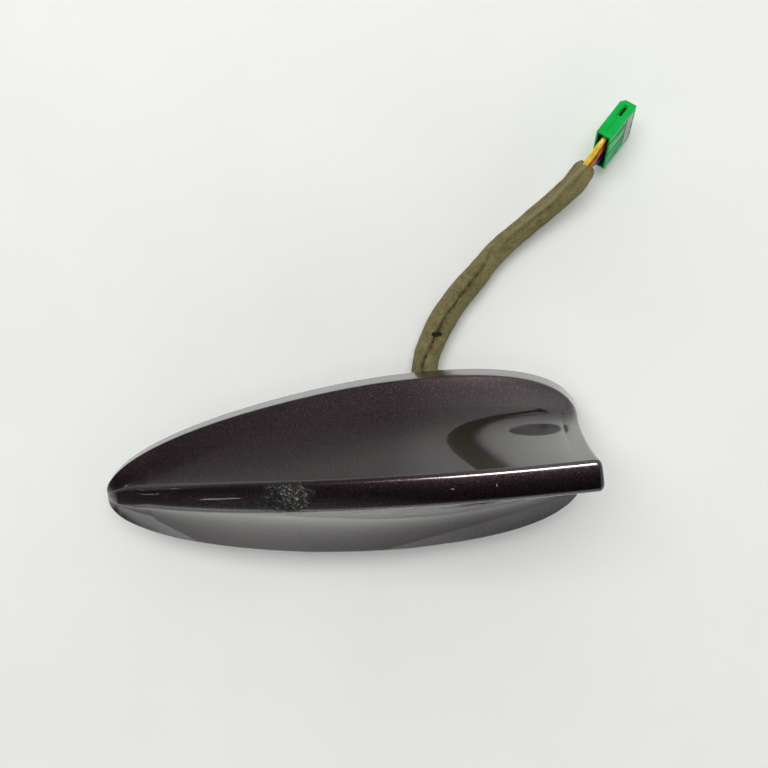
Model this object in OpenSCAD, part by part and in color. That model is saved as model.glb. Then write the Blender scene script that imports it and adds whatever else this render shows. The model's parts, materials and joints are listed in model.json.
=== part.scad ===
// Roof antenna with a shark-fin cover, its mounting neck and a short taped pigtail with a plug.
// X runs from the nose to the tail, Y to the side where the cable leaves, Z up from the roof skin.
// The origin is on the fixing screw's axis, at the roof.

/* [Fin cover] */
// Length of the cover from nose to tail
cover_len = 150; // [146:0.5:156]
// Width of the cover across its rim
cover_w = 53.6; // [52:0.2:58]
// Distance from the nose to where the rim is widest
widest_at = 93; // [88:1:98]
// Distance from the nose to the fixing screw's axis
nose_reach = 86; // [84:0.5:88]
// Height of the ridge above the rim at the nose, before the nose is rounded
ridge_h_nose = 3.2; // [3:0.1:4]
// Height of the ridge above the rim at the tail
ridge_h_tail = 52.9; // [50:0.1:56]
// How far the ridge bows up from a straight line, four times the rise at mid length
ridge_bow = 46; // [42:1:50]
// Half width of the ridge at the nose end
ridge_half_nose = 4.9; // [4.6:0.05:5.2]
// Half width of the ridge at the tail end
ridge_half_tail = 4.25; // [3.8:0.05:4.5]
// Radius along the edges of the ridge
ridge_edge_r = 1.5; // [1:0.1:1.8]
// Rise of the ridge's crown above its edges
ridge_crown = 0.3; // [0.1:0.05:0.5]
// Height of the upright wall round the rim
rim_wall_h = 7.6; // [7:0.1:8]
// Height of the upright wall at the nose
rim_wall_nose_h = 3.8; // [3.4:0.1:4]
// How far the top of the upright wall leans in over the rim
rim_lean = 1.1; // [0.9:0.1:1.4]
// How sharply the flank turns up from the shoulder into the fin at the nose
shoulder_turn_nose = 2.5; // [2:0.1:3]
// How sharply it turns up at the tail
shoulder_turn_tail = 8; // [6:0.5:9]
// How far the fin leans in for each millimetre of its height at the tail
fin_lean = 0.17; // [0.14:0.01:0.2]
// Length over which the nose is rounded in side view
nose_round = 9; // [7:0.5:11]
// Radius of the upright edges at the tail end of the ridge
tail_round = 1.6; // [1.2:0.1:1.8]
// How far the tail edge is hollowed forwards between rim and ridge
tail_hollow = 1.3; // [0.8:0.1:1.8]
// How far the ridge's tail end stands out behind the rim
tail_overhang = 0.8; // [0.4:0.1:1.2]
// Wall thickness of the cover
cover_wall = 2; // [1.8:0.1:2.2]
// Radius of the screw bosses inside the cover
boss_r = 3; // [2.6:0.1:3.2]

/* [Base plate] */
// Thickness of the cast base plate
plate_t = 2.5; // [2.2:0.1:2.8]
// Gap between the base plate's edge and the inside of the cover
plate_gap = 0.4; // [0.3:0.05:0.6]
// Height of the pads that carry the cover's bosses, above the plate
pad_h = 1.5; // [1.2:0.1:1.8]
// Height of the posts that carry the circuit board, above the plate
post_h = 1.5; // [1.2:0.1:1.8]
// Radius of the board posts
post_r = 2.4; // [2.2:0.1:2.6]

/* [Neck] */
// Depth of the mounting neck below the roof's outer face
neck_depth = 10.6; // [10.6:0.1:12]
// Length of the neck along the car
neck_len = 34; // [33:0.5:38]
// Width of the neck across the car
neck_w = 24; // [22:0.5:28]
// Corner radius of the neck
neck_corner = 4; // [2:0.5:5]
// Distance from the screw's axis to the front of the neck
neck_front = 13; // [12:0.5:15]
// Radius of the fixing screw hole
screw_hole_r = 3; // [2.9:0.05:3.3]
// Depth of the fixing screw hole
screw_hole_depth = 12; // [9:0.5:12.5]
// Distance from the screw's axis back to the lead hole
lead_hole_x = 12; // [11.5:0.25:13]
// Radius of the hole that takes the leads up through the plate
lead_hole_r = 4.2; // [3.9:0.1:4.4]
// Width of the cable slot across the neck
slot_w = 9.6; // [9:0.1:10]
// Angle of the cable slot away from square to the car
slot_turn = 15; // [12:0.5:18]

/* [Seals] */
// Thickness of the rubber seals on the roof
seal_t = 1; // [0.8:0.1:1.4]
// How far the rim seal's outer edge lies inside the cover's rim
rim_seal_inset = 0.8; // [0.5:0.1:1.2]
// Width of the rim seal
rim_seal_w = 6; // [5:0.25:6.5]
// Width of the seal round the neck
neck_seal_w = 3.5; // [2.5:0.25:4]
// Gap between the neck and its seal
neck_seal_gap = 0.3; // [0.2:0.05:0.5]

/* [Circuit] */
// Length of the main circuit board
board_len = 80; // [79:0.5:81]
// Width of the main circuit board
board_w = 23; // [22:0.25:24]
// Thickness of the circuit boards
board_t = 1.6; // [1.2:0.1:1.8]
// Distance from the fixing screw forwards to the main board's front edge
board_front = 36; // [35.5:0.25:36.5]
// Side of the square patch antenna
patch_side = 18; // [17:0.25:18.5]
// Height of the patch antenna
patch_h = 4; // [3:0.25:4.5]
// Side of the silvered face on top of the patch
patch_face_side = 14; // [12:0.25:16]
// Thickness of the silvered face
patch_face_t = 0.2; // [0.15:0.05:0.3]
// Radius of the pin through the patch
patch_pin_r = 0.5; // [0.4:0.05:0.6]
// Length of the shield can
can_len = 11; // [9:0.5:11]
// Width of the shield can
can_w = 15; // [12:0.5:16]
// Height of the shield can
can_h = 3; // [2.5:0.1:3.5]
// Sheet thickness of the shield can
can_t = 0.3; // [0.2:0.05:0.4]
// Thickness of the upright fin board
fin_board_t = 1; // [0.8:0.1:1.2]
// Length of the upright fin board along its foot
fin_board_len = 32; // [28:0.5:33]
// Height of the upright fin board at its front
fin_board_front_h = 28; // [24:0.5:30]
// Height of the upright fin board at its back
fin_board_back_h = 36; // [33:0.5:37]
// Width of the bracket that holds the fin board
bracket_w = 7; // [6:0.25:8]
// Height of the bracket
bracket_h = 6; // [5:0.25:7]
// Sheet thickness of the capacitive cap on the fin board
cap_sheet_t = 0.4; // [0.3:0.05:0.5]
// Depth of the capacitive cap's two skirts
cap_skirt = 5; // [4:0.25:6]

/* [Screws] */
// Radius of the cover screws
cover_screw_r = 1.2; // [1:0.05:1.3]
// Radius of the cover screws' heads
cover_head_r = 2.4; // [2.2:0.1:2.5]
// Height of the cover screws' heads
cover_head_h = 1.3; // [1.1:0.1:1.4]
// Length of the cover screws under the head
cover_screw_len = 5; // [4.5:0.1:5.2]
// Radius of the board screws
board_screw_r = 0.9; // [0.8:0.05:1]
// Radius of the board screws' heads
board_head_r = 1.7; // [1.5:0.1:1.8]
// Height of the board screws' heads
board_head_h = 1.1; // [0.9:0.1:1.3]
// Radial clearance round each screw in the hole that it passes through
screw_play = 0.25; // [0.2:0.05:0.35]
// Radial clearance between a screw's thread and the boss that it grips
thread_play = 0.05; // [0.02:0.01:0.08]

/* [Cable] */
// Radius of the taped sleeve at the neck
sleeve_r = 4.2; // [4:0.05:4.3]
// Radius of the taped sleeve at its plug end
sleeve_end_r = 3.1; // [2.9:0.05:3.3]
// Radius of each wire's insulation
wire_r = 0.8; // [0.7:0.05:0.85]
// Wall of the rubber grommet round the leads
grommet_wall = 1.6; // [1.2:0.1:1.8]
// Thickness of the grommet's flange
grommet_flange_t = 0.8; // [0.6:0.1:1]

/* [Connector] */
// Length of the plug from wire entry to mating face
plug_len = 14; // [13.5:0.1:15]
// Thickness of the plug
plug_t = 4.8; // [4.6:0.1:5.2]
// Width of the plug along its row of contacts
plug_w = 15; // [14.6:0.1:15.6]
// Pitch of the plug's contacts
contact_pitch = 3.2; // [3.1:0.05:3.3]
// Wall of the plug's housing
plug_wall = 0.7; // [0.6:0.05:0.8]
// Depth of the open well at the wire entry
well_depth = 2.5; // [2:0.1:3]
// Thickness of the wall at the mating face
face_wall = 1.2; // [1:0.1:1.4]
// Width of the keyway cut in the plug's edge
key_w = 1.4; // [1.1:0.1:1.6]
// Length of the keyway
key_len = 4.6; // [4:0.1:5]
// Depth of the keyway
key_depth = 0.6; // [0.4:0.05:0.65]
// Length of the contact retainer along the plug
retainer_len = 3.2; // [2.8:0.1:3.4]
// How far the retainer stands out of the housing
retainer_proud = 0.2; // [0.1:0.05:0.3]

/* [Hidden] */
$fn = 48;

// Heights of the stacked faces, counted from the roof skin
rim_z = seal_t;
plate_top = rim_z + plate_t;
pad_top = plate_top + pad_h;
board_z = plate_top + post_h;
board_top = board_z + board_t;

// Points along the cover and round its section
stations = 36;
flank_steps = 10;
flank_spread = 1.4;
edge_steps = 4;
inner_flank_steps = 8;
inner_stations = 26;
first_station = 0.3;
inner_first = 4;
cable_z = sleeve_r - neck_depth + 0.1;

// How much more the fin leans in at the nose, and where it stands as upright as at the tail
nose_lean_gain = 0.55;
upright_from = 125;
lean_fade = 0.8;
// The most of the flank's width that the fin's own lean takes
lean_share = 0.8;
// Shape of the rim in plan: how full and how blunt each end is
nose_fullness = 1.6;
nose_bluntness = 2.09;
tail_fullness = 2.48;
tail_bluntness = 3.56;
tail_reach = 12;

// Half width of the rim at a distance from the nose
function rim_half(x) = x < widest_at
    ? cover_w / 2 * pow(1 - pow((widest_at - x) / widest_at, nose_fullness), 1 / nose_bluntness)
    : cover_w / 2 * pow(max(0, 1 - pow((x - widest_at) / (cover_len - widest_at), tail_fullness)),
        1 / tail_bluntness);

// Rounding of the nose in side view, from 0 at the tip to 1
function nose_ease(x) = sqrt(1 - pow(1 - min(1, x / nose_round), 2));

// How far the tail end of the ridge is rounded off
function tail_drop(x) = x > cover_len - tail_round
    ? tail_round * (1 - sqrt(max(0, 1 - pow((x - cover_len + tail_round) / tail_round, 2))))
    : 0;

// Height of the ridge's crown above the rim
function ridge_h(x) = let (v = x / cover_len)
    nose_ease(x) * (ridge_h_nose + (ridge_h_tail - ridge_h_nose) * v + ridge_bow * v * (1 - v))
    - tail_drop(x);

// Height of the upright wall, how far it leans, and the half width of the ridge
function wall_h(x) = nose_ease(x) * (rim_wall_nose_h
    + (rim_wall_h - rim_wall_nose_h) * min(1, x / (widest_at / 1.5)));
function lean(x) = min(rim_lean, rim_half(x) / 6);
function ridge_half(x) = min(0.7 * (rim_half(min(x, widest_at)) - lean(min(x, widest_at))),
    ridge_half_nose + (ridge_half_tail - ridge_half_nose) * x / cover_len) - tail_drop(x);

// How sharply the flank turns up, and how much of its width the fin's lean takes
function turn_up(x) = shoulder_turn_nose
    + (shoulder_turn_tail - shoulder_turn_nose) * pow(x / cover_len, 3);
function fin_run(x, rise, span) = min(lean_share * span,
    rise * (fin_lean + nose_lean_gain * pow(max(0, 1 - x / upright_from), lean_fade)));

// Half width over the ridge at a share of the flank's height
function flank_side(x, rise, span, s) = let (run = fin_run(x, rise, span))
    run * (1 - s) + (span - run) * pow(1 - s, turn_up(x));

// One half of a section, from its foot up to the crown, as points of side and height
function half_section(x, foot, w, lean, wall_h, ridge_w, h, edge, crown, flank_n, edge_n) =
    let (side = h - crown - edge)
    concat(
        [[w, foot], [w - lean / 2, wall_h / 2]],
        [for (i = [0 : flank_n]) let (s = pow(i / flank_n, flank_spread))
            [ridge_w + flank_side(x, side - wall_h, w - lean - ridge_w, s),
                wall_h + (side - wall_h) * s]],
        [for (i = [1 : edge_n]) let (a = 90 * i / edge_n)
            [ridge_w - edge * (1 - cos(a)), side + edge * sin(a)]],
        [[0, h]]);

// The outer section at a distance from the nose
function outer_half(x) = let (
        ridge_w = ridge_half(x),
        w = max(rim_half(x), ridge_w + lean(x)),
        h = ridge_h(x),
        edge = min(ridge_edge_r, (h - wall_h(x)) / 3, ridge_w * 0.8))
    half_section(x, 0, w, lean(x), wall_h(x), ridge_w, h, edge, min(ridge_crown, h / 12),
        flank_steps, edge_steps);

// Half width of the space inside the cover at a height above the rim
function inside_wall(x) = max(0.4, wall_h(x) - cover_wall);
function inside_ridge(x) = min(max(0.8, ridge_half(x) - cover_wall),
    rim_half(x) - cover_wall - lean(x) - 0.2);
function inside_top(x) = ridge_h(x) - cover_wall;
function inside_half(x, z) = let (
        w = rim_half(x) - cover_wall,
        wall = inside_wall(x),
        s = min(1, (z - wall) / (inside_top(x) - wall)))
    z < wall ? w - lean(x) * z / wall
    : inside_ridge(x) + flank_side(x, inside_top(x) - wall, w - lean(x) - inside_ridge(x), s);

// The inner section: every face moved in by the wall, and its foot run out below the rim
function inner_half(x) = let (h = inside_top(x), wall = inside_wall(x))
    half_section(x, -1, rim_half(x) - cover_wall, lean(x), wall, inside_ridge(x), h,
        min(0.6, (h - wall) / 3), 0.1, inner_flank_steps, 2);

// A whole section in space, with the tail edge hollowed and the ridge drawn back
function place(x, p) = let (s = p[1] / ridge_h_tail)
    [x - nose_reach + pow(x / cover_len, tail_reach)
        * (tail_overhang * s - tail_hollow * sin(180 * min(1, s))), p[0], p[1] + rim_z];
function mirrored(half) = [for (i = [len(half) - 2 : -1 : 0]) [-half[i][0], half[i][1]]];
function section(x, half) = [for (p = concat(half, mirrored(half))) place(x, p)];

// Distances from the nose, closer together at both ends
function spread(from, to, n) = [for (i = [0 : n]) from + (to - from) * (1 - cos(180 * i / n)) / 2];

function flatten(lists) = [for (a = lists) for (b = a) b];

// A closed outline on both sides of the middle, from half widths along the antenna, moved in
function inset_point(x, y, slope, inset) = let (n = sqrt(1 + slope * slope))
    [x + inset * slope / n - nose_reach, y - inset / n];
function both_sides(side) = concat(side, [for (i = [len(side) - 1 : -1 : 0]) [side[i][0], -side[i][1]]]);
slope_step = 0.05;
function rim_slope(x) = (rim_half(min(x + slope_step, cover_len)) - rim_half(x - slope_step))
    / (2 * slope_step);
function rim_outline(inset) = both_sides([for (x = spread(first_station, cover_len - 0.2, 30))
    inset_point(x, rim_half(x), rim_slope(x), inset)]);

// The base plate's outline: what the cover leaves free at the plate's upper face, less a gap
plate_nose = 6.5;
function plate_slope(x) = (inside_half(x + slope_step, plate_t) - inside_half(x - slope_step, plate_t))
    / (2 * slope_step);
function plate_outline() = both_sides([
    for (x = spread(plate_nose, cover_len - cover_wall - plate_gap - 0.4, 30))
        inset_point(x, inside_half(x, plate_t), x > plate_nose + 1 ? plate_slope(x) : 1, plate_gap)]);

// Where the cover screws and the board screws stand
cover_screw_front = 46;
cover_screw_back = 31;
cover_screw_sites = [[-cover_screw_front, 11], [-cover_screw_front, -11],
    [cover_screw_back, 16.5], [cover_screw_back, -16.5]];
board_screw_edge = 2.6;
board_back = board_len - board_front;
board_screw_sites = [for (x = [-board_front + board_screw_edge, board_back - board_screw_edge])
    for (side = [-1, 1]) [x, side * (board_w / 2 - board_screw_edge)]];

// Where the parts on the board stand
patch_x = -board_front + 6 + patch_side / 2;
can_x = patch_x + patch_side / 2 + 1 + can_len / 2;
header_l = 5;
header_x = can_x + can_len / 2 + 1 + header_l / 2;
header_w = 9;
header_h = 5;
inner_plug_l = 5.5;
inner_plug_back = header_x - header_l / 2 + 1 + inner_plug_l;
fin_foot = board_top + 0.8;
fin_rake = 9;
fin_front_x = lead_hole_x + lead_hole_r + 3;

// The taped sleeve's route over the surface that the antenna stands on
sleeve_route = [[13, 4, 0], [14, 7.5, 0], [15, 11, 0], [16, 14.7, 0], [17, 18.5, 0], [17.8, 22.2, 0],
    [18.3, 25.3, 0], [18.9, 28.2, 0], [20.1, 31.4, 0], [22.1, 35, 0], [24.1, 38.4, 0],
    [26.7, 41.9, 0], [29.7, 45.2, 0], [32.9, 48.5, 0], [36.4, 51.7, 0], [39.9, 55, 0.1],
    [43.4, 58.2, 0.3], [47.4, 61.3, 0.7], [51.9, 64.3, 1.3], [56.7, 67.3, 2.1], [61.2, 70.2, 3.2],
    [65.6, 73.1, 4.6], [69.6, 76, 5.8], [72.5, 79, 6.8], [74.5, 81, 7.4]];
sleeve_path = [for (p = sleeve_route) [p[0], p[1], p[2] + cable_z]];
sleeve_sides = 12;
lead_r = 0.6;
lead_pitch = 0.85;
lead_gap = 0.2;
wire_rise = 1.5 * wire_r;
wire_spread = 0.9 * wire_r;
sleeve_end = sleeve_path[len(sleeve_path) - 1];

// The plug leans on its mating end, with its wire entry up
plug_pitch = 26;
plug_roll = -17;
plug_yaw = 44;
plug_rest = plug_len * sin(plug_pitch)
    + cos(plug_pitch) * (plug_t / 2 * sin(-plug_roll) + plug_w / 2 * cos(plug_roll));
plug_at = [78.4, 84.6, plug_rest - neck_depth + 0.1];
contact_z = [for (i = [1.5 : -1 : -1.5]) i * contact_pitch];
cavity_t = 2.2;
cavity_w = 2.5;
contact_t = 1.4;
contact_w = 1.8;
contact_len = 7;
contact_from = 3.2;

// Turn a point of the plug's own frame into the antenna's
function turn_x(p, a) = [p[0], p[1] * cos(a) - p[2] * sin(a), p[1] * sin(a) + p[2] * cos(a)];
function turn_y(p, a) = [p[0] * cos(a) + p[2] * sin(a), p[1], p[2] * cos(a) - p[0] * sin(a)];
function turn_z(p, a) = [p[0] * cos(a) - p[1] * sin(a), p[0] * sin(a) + p[1] * cos(a), p[2]];
function plug_turn(p) = turn_z(turn_y(turn_x(p, plug_roll), plug_pitch), plug_yaw);
function plug_point(p) = plug_at + plug_turn(p);

// Smooth curve between two points, each left along its own direction
function bezier(a, b, c, d, t) = a * pow(1 - t, 3) + 3 * b * pow(1 - t, 2) * t
    + 3 * c * (1 - t) * t * t + d * t * t * t;
function curve(a, b, c, d, n) = [for (i = [0 : n]) bezier(a, b, c, d, i / n)];

// Direction of a path at one of its points
function unit(v) = v / norm(v);
function heading(path, i) = unit(path[min(i + 1, len(path) - 1)] - path[max(i - 1, 0)]);

// A round tube swept along a path, with a radius for each point
module tube(path, radii, sides) {
    n = len(path);
    points = flatten([for (i = [0 : n - 1]) let (
            d = heading(path, i),
            across = unit(cross(abs(d[2]) > 0.9 ? [1, 0, 0] : [0, 0, 1], d)),
            up = cross(d, across))
        [for (j = [0 : sides - 1]) let (a = 360 * (j + 0.5) / sides)
            path[i] + radii[i] * (cos(a) * across + sin(a) * up)]]);
    walls = [for (i = [0 : n - 2]) for (j = [0 : sides - 1]) let (
            k = (j + 1) % sides,
            a = i * sides + j, b = i * sides + k, c = a + sides, d = b + sides)
        for (f = [[a, c, b], [b, c, d]]) f];
    polyhedron(points, concat(walls,
        [[for (j = [0 : sides - 1]) j]],
        [[for (j = [sides - 1 : -1 : 0]) (n - 1) * sides + j]]), convexity = 6);
}

// A flat plate with round corners, standing on its lower face
module rounded_plate(len_x, len_y, h, r) {
    linear_extrude(h) {
        square([len_x, len_y - 2 * r], center = true);
        square([len_x - 2 * r, len_y], center = true);
        for (x = [-1, 1]) for (y = [-1, 1])
            translate([x * (len_x / 2 - r), y * (len_y / 2 - r)]) circle(r);
    }
}

// A face across one section, in strips between its two sides, from the foot up to the crown
function across(first, per) = let (crown = (per - 1) / 2, last = first + per - 1)
    concat(
        [for (i = [0 : crown - 2]) for (f = [[first + i, first + i + 1, last - i - 1],
            [first + i, last - i - 1, last - i]]) f],
        [[first + crown - 1, first + crown, first + crown + 1]]);
function turned(faces) = [for (f = faces) [f[2], f[1], f[0]]];

// A closed solid lofted through rows of points, each row a section that is the same on both sides
module loft(rows) {
    n = len(rows);
    per = len(rows[0]);
    sides = [for (i = [0 : n - 2]) for (j = [0 : per - 1]) let (
            k = (j + 1) % per,
            a = i * per + j, b = i * per + k, c = a + per, d = b + per)
        for (f = [[a, c, b], [b, c, d]]) f];
    polyhedron(flatten(rows), concat(sides, across(0, per), turned(across((n - 1) * per, per))),
        convexity = 8);
}

// The painted cover: one loft less another inside it, which leaves the screw bosses standing
module fin_cover() {
    color("#2e272a") difference() {
        loft([for (x = spread(first_station, cover_len, stations)) section(x, outer_half(x))]);
        difference() {
            loft([for (x = spread(inner_first, cover_len - cover_wall, inner_stations))
                section(x, inner_half(x))]);
            for (p = cover_screw_sites)
                translate([p[0], p[1], pad_top]) cylinder(r = boss_r, h = ridge_h_tail / 2);
        }
        for (p = cover_screw_sites)
            translate([p[0], p[1], pad_top - 0.5])
                cylinder(r = cover_screw_r + thread_play, h = cover_screw_len);
    }
}

// The slot that lets the cable out of the neck, and the hole that takes the leads up
module cable_way() {
    translate([lead_hole_x, 0, -neck_depth - 1]) linear_extrude(neck_depth + 1) {
        circle(slot_w / 2);
        rotate(-slot_turn) translate([-slot_w / 2, 0]) square([slot_w, neck_w]);
    }
    translate([lead_hole_x, 0, -1]) cylinder(r = lead_hole_r, h = plate_top + 2);
}

module base_plate() {
    color("#9a9c9e") difference() {
        union() {
            translate([0, 0, rim_z]) linear_extrude(plate_t) polygon(plate_outline());
            translate([neck_len / 2 - neck_front, 0, -neck_depth])
                rounded_plate(neck_len, neck_w, neck_depth + rim_z + 0.5, neck_corner);
            for (p = cover_screw_sites)
                translate([p[0], p[1], rim_z + 0.5]) cylinder(r = boss_r, h = pad_top - rim_z - 0.5);
            for (p = board_screw_sites)
                translate([p[0], p[1], plate_top - 0.5]) cylinder(r = post_r, h = post_h + 0.5);
        }
        translate([0, 0, -neck_depth - 1]) cylinder(r = screw_hole_r, h = screw_hole_depth + 1);
        cable_way();
        for (p = cover_screw_sites) translate([p[0], p[1], 0]) {
            cylinder(r = cover_screw_r + screw_play, h = pad_top + 1);
            cylinder(r = cover_head_r + screw_play, h = rim_z + cover_head_h + 0.1);
        }
        for (p = board_screw_sites)
            translate([p[0], p[1], rim_z + 1]) cylinder(r = board_screw_r + thread_play, h = board_z);
    }
}

module rim_seal() {
    color("#1d1d1f") linear_extrude(seal_t) difference() {
        polygon(rim_outline(rim_seal_inset));
        polygon(rim_outline(rim_seal_inset + rim_seal_w));
    }
}

module neck_seal() {
    gap = neck_seal_gap;
    color("#242426") translate([neck_len / 2 - neck_front, 0, 0]) difference() {
        rounded_plate(neck_len + 2 * (neck_seal_w + gap), neck_w + 2 * (neck_seal_w + gap), seal_t,
            neck_corner + neck_seal_w + gap);
        translate([0, 0, -1])
            rounded_plate(neck_len + 2 * gap, neck_w + 2 * gap, seal_t + 2, neck_corner + gap);
    }
}

// A rubber bush round the leads, with a flange over the plate
module lead_grommet() {
    color("#202022") translate([lead_hole_x, 0, 0]) difference() {
        union() {
            cylinder(r = lead_hole_r - 0.05, h = plate_top);
            translate([0, 0, plate_top]) cylinder(r = lead_hole_r + 1, h = grommet_flange_t);
        }
        translate([0, 0, -1]) cylinder(r = lead_hole_r - grommet_wall, h = plate_top + 4);
    }
}

module main_board() {
    color("#2f6b3c") difference() {
        translate([board_back / 2 - board_front / 2, 0, board_z])
            rounded_plate(board_len, board_w, board_t, 2);
        for (p = board_screw_sites)
            translate([p[0], p[1], board_z - 1]) cylinder(r = board_screw_r + screw_play, h = board_t + 2);
        translate([lead_hole_x, 0, board_z - 1]) cylinder(r = lead_hole_r, h = board_t + 2);
        translate([patch_x, 0, board_z - 1]) cylinder(r = patch_pin_r + 0.05, h = board_t + 2);
    }
}

module gps_patch() {
    color("#d8cdb8") difference() {
        translate([patch_x - patch_side / 2, -patch_side / 2, board_top])
            cube([patch_side, patch_side, patch_h]);
        translate([patch_x, 0, board_top - 1]) cylinder(r = patch_pin_r + 0.05, h = patch_h + 2);
    }
}

module patch_face() {
    color("#c9cacc") difference() {
        translate([patch_x - patch_face_side / 2, -patch_face_side / 2, board_top + patch_h])
            cube([patch_face_side, patch_face_side, patch_face_t]);
        translate([patch_x, 0, board_top]) cylinder(r = patch_pin_r + 0.05, h = patch_h + 2);
    }
}

// The feed pin, headed over the silvered face
module patch_pin() {
    top = board_top + patch_h + patch_face_t;
    color("#b9b7ae") translate([patch_x, 0, 0]) {
        translate([0, 0, board_z]) cylinder(r = patch_pin_r, h = top - board_z + 0.1);
        translate([0, 0, top]) cylinder(r = patch_pin_r * 2, h = 0.3);
    }
}

module shield_can() {
    color("#b4b6b8") translate([can_x, 0, board_top]) difference() {
        translate([-can_len / 2, -can_w / 2, 0]) cube([can_len, can_w, can_h]);
        translate([-can_len / 2 + can_t, -can_w / 2 + can_t, -1])
            cube([can_len - 2 * can_t, can_w - 2 * can_t, can_h + 1 - can_t]);
    }
}

// Chips under the can and small parts along the board's edges
module board_chips() {
    chip = 4;
    small = [1.6, 0.9, 0.8];
    color("#232527") {
        translate([can_x - chip / 2, -chip / 2, board_top]) cube([chip, chip, 1]);
        for (i = [0 : 4]) for (side = [-1, 1])
            translate([patch_x - 8 + i * 4 - small[0] / 2, side * (board_w / 2 - 1.2) - small[1] / 2, board_top])
                cube(small);
    }
}

module board_header() {
    color("#e3ded0") translate([header_x - header_l / 2, -header_w / 2, board_top]) difference() {
        cube([header_l, header_w, header_h]);
        translate([1, 0.8, 1]) cube([header_l, header_w - 1.6, header_h - 1.8]);
    }
}

// The small plug on the leads, seated in the header with a little play
module inner_plug() {
    play = 0.1;
    color("#efeae0") translate([header_x - header_l / 2 + 1, -header_w / 2 + 0.8 + play, board_top + 1])
        cube([inner_plug_l, header_w - 1.6 - 2 * play, header_h - 1.8 - play]);
}

// Four leads from the sleeve, up through the grommet and over into the small plug
module inner_leads() {
    top = board_top + 1 + (header_h - 1.9) / 2;
    d = heading(sleeve_path, 0);
    start = sleeve_path[0] - d * lead_gap;
    color("#56585c") for (a = [-1, 1]) for (b = [-1, 1]) {
        lane = b * lead_pitch;
        side = a * lead_pitch;
        from = start + [lane * d[1], -lane * d[0], side];
        up_low = [lead_hole_x + lane, side, 0.5];
        up_high = [lead_hole_x + lane, side, board_top];
        end = [inner_plug_back + lead_gap, side * 2, top + lane];
        path = concat(curve(from, from - d * 2.5, up_low - [0, 0, 3], up_low, 6),
            curve(up_high, up_high + [0, 0, 3 + lane], end + [2.5, 0, 0], end, 7));
        tube(path, [for (p = path) lead_r], 8);
    }
}

// The plastic foot that clips over the board and grips the upright board
module fin_bracket() {
    color("#2a2c2e") translate([fin_front_x, 0, board_top]) difference() {
        translate([0, -bracket_w / 2, 0]) cube([fin_board_len - fin_rake, bracket_w, bracket_h]);
        translate([-1, -fin_board_t / 2 - 0.05, 0.8])
            cube([fin_board_len, fin_board_t + 0.1, bracket_h]);
    }
}

// The upright board: its foot sits in the bracket and its top follows the ridge
module fin_board() {
    color("#2c5f74") translate([fin_front_x, fin_board_t / 2, fin_foot]) rotate([90, 0, 0])
        linear_extrude(fin_board_t)
            polygon([[0, 0], [fin_board_len - fin_rake, 0], [fin_board_len, fin_rake + 1],
                [fin_board_len + 2, fin_board_back_h], [0, fin_board_front_h]]);
}

// A folded metal strip over the top edge of the upright board
module fin_cap() {
    slope = atan2(fin_board_back_h - fin_board_front_h, fin_board_len + 2);
    long = (fin_board_len + 2) / cos(slope) - 4;
    half = fin_board_t / 2 + 0.1 + cap_sheet_t;
    color("#b89b5e") translate([fin_front_x, 0, fin_foot + fin_board_front_h]) rotate([0, -slope, 0])
        difference() {
            translate([2, -half, -cap_skirt]) cube([long, 2 * half, cap_skirt + cap_sheet_t]);
            translate([1, -half + cap_sheet_t, -cap_skirt - 1])
                cube([long + 2, 2 * (half - cap_sheet_t), cap_skirt + 1]);
        }
}

module board_screws() {
    color("#a8aaac") for (p = board_screw_sites) translate([p[0], p[1], 0]) {
        translate([0, 0, plate_top - 0.4]) cylinder(r = board_screw_r, h = board_top - plate_top + 0.5);
        translate([0, 0, board_top]) cylinder(r = board_head_r, h = board_head_h);
    }
}

module cover_screws() {
    color("#8d8f92") for (p = cover_screw_sites) translate([p[0], p[1], rim_z]) {
        translate([0, 0, 0.1]) difference() {
            cylinder(r = cover_head_r, h = cover_head_h);
            for (a = [0, 90]) rotate([0, 0, a]) translate([-1.4, -0.25, -0.5]) cube([2.8, 0.5, 1]);
        }
        translate([0, 0, cover_head_h]) cylinder(r = cover_screw_r, h = cover_screw_len);
    }
}

// The felt-taped sleeve, thinner towards the plug
module harness_sleeve() {
    n = len(sleeve_path) - 1;
    color("#6f6a4c") tube(sleeve_path,
        [for (i = [0 : n]) sleeve_r + (sleeve_end_r - sleeve_r) * pow(i / n, 3)], sleeve_sides);
}

// One wire from the sleeve's end into its chamber in the plug
module wire(i) {
    d = heading(sleeve_path, len(sleeve_path) - 1);
    across = unit(cross([0, 0, 1], d));
    up = cross(d, across);
    from = sleeve_end + d * lead_gap + up * (1.5 - i) * wire_rise
        + across * (i % 2 == 0 ? wire_spread : -wire_spread);
    to = plug_point([contact_from - lead_gap, 0, contact_z[i]]);
    path = curve(from, from + d * 2.2, plug_point([-2, 0, contact_z[i]]), to, 9);
    tube(path, [for (p = path) wire_r], 8);
}

module wire_yellow() { color("#e8c51e") wire(0); }
module wire_orange() { color("#d9822b") wire(1); }
module wire_red() { color("#a8282e") wire(2); }
module wire_violet() { color("#4b3f7d") wire(3); }

module plug_place() {
    translate(plug_at) rotate([plug_roll, plug_pitch, plug_yaw]) children();
}

retainer_x = plug_len - face_wall - retainer_len - 0.6;
retainer_top = plug_w / 2 - plug_wall - 0.4;
retainer_low = -plug_w / 2 + 2;
retainer_depth = (plug_t - cavity_t) / 2;

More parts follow.
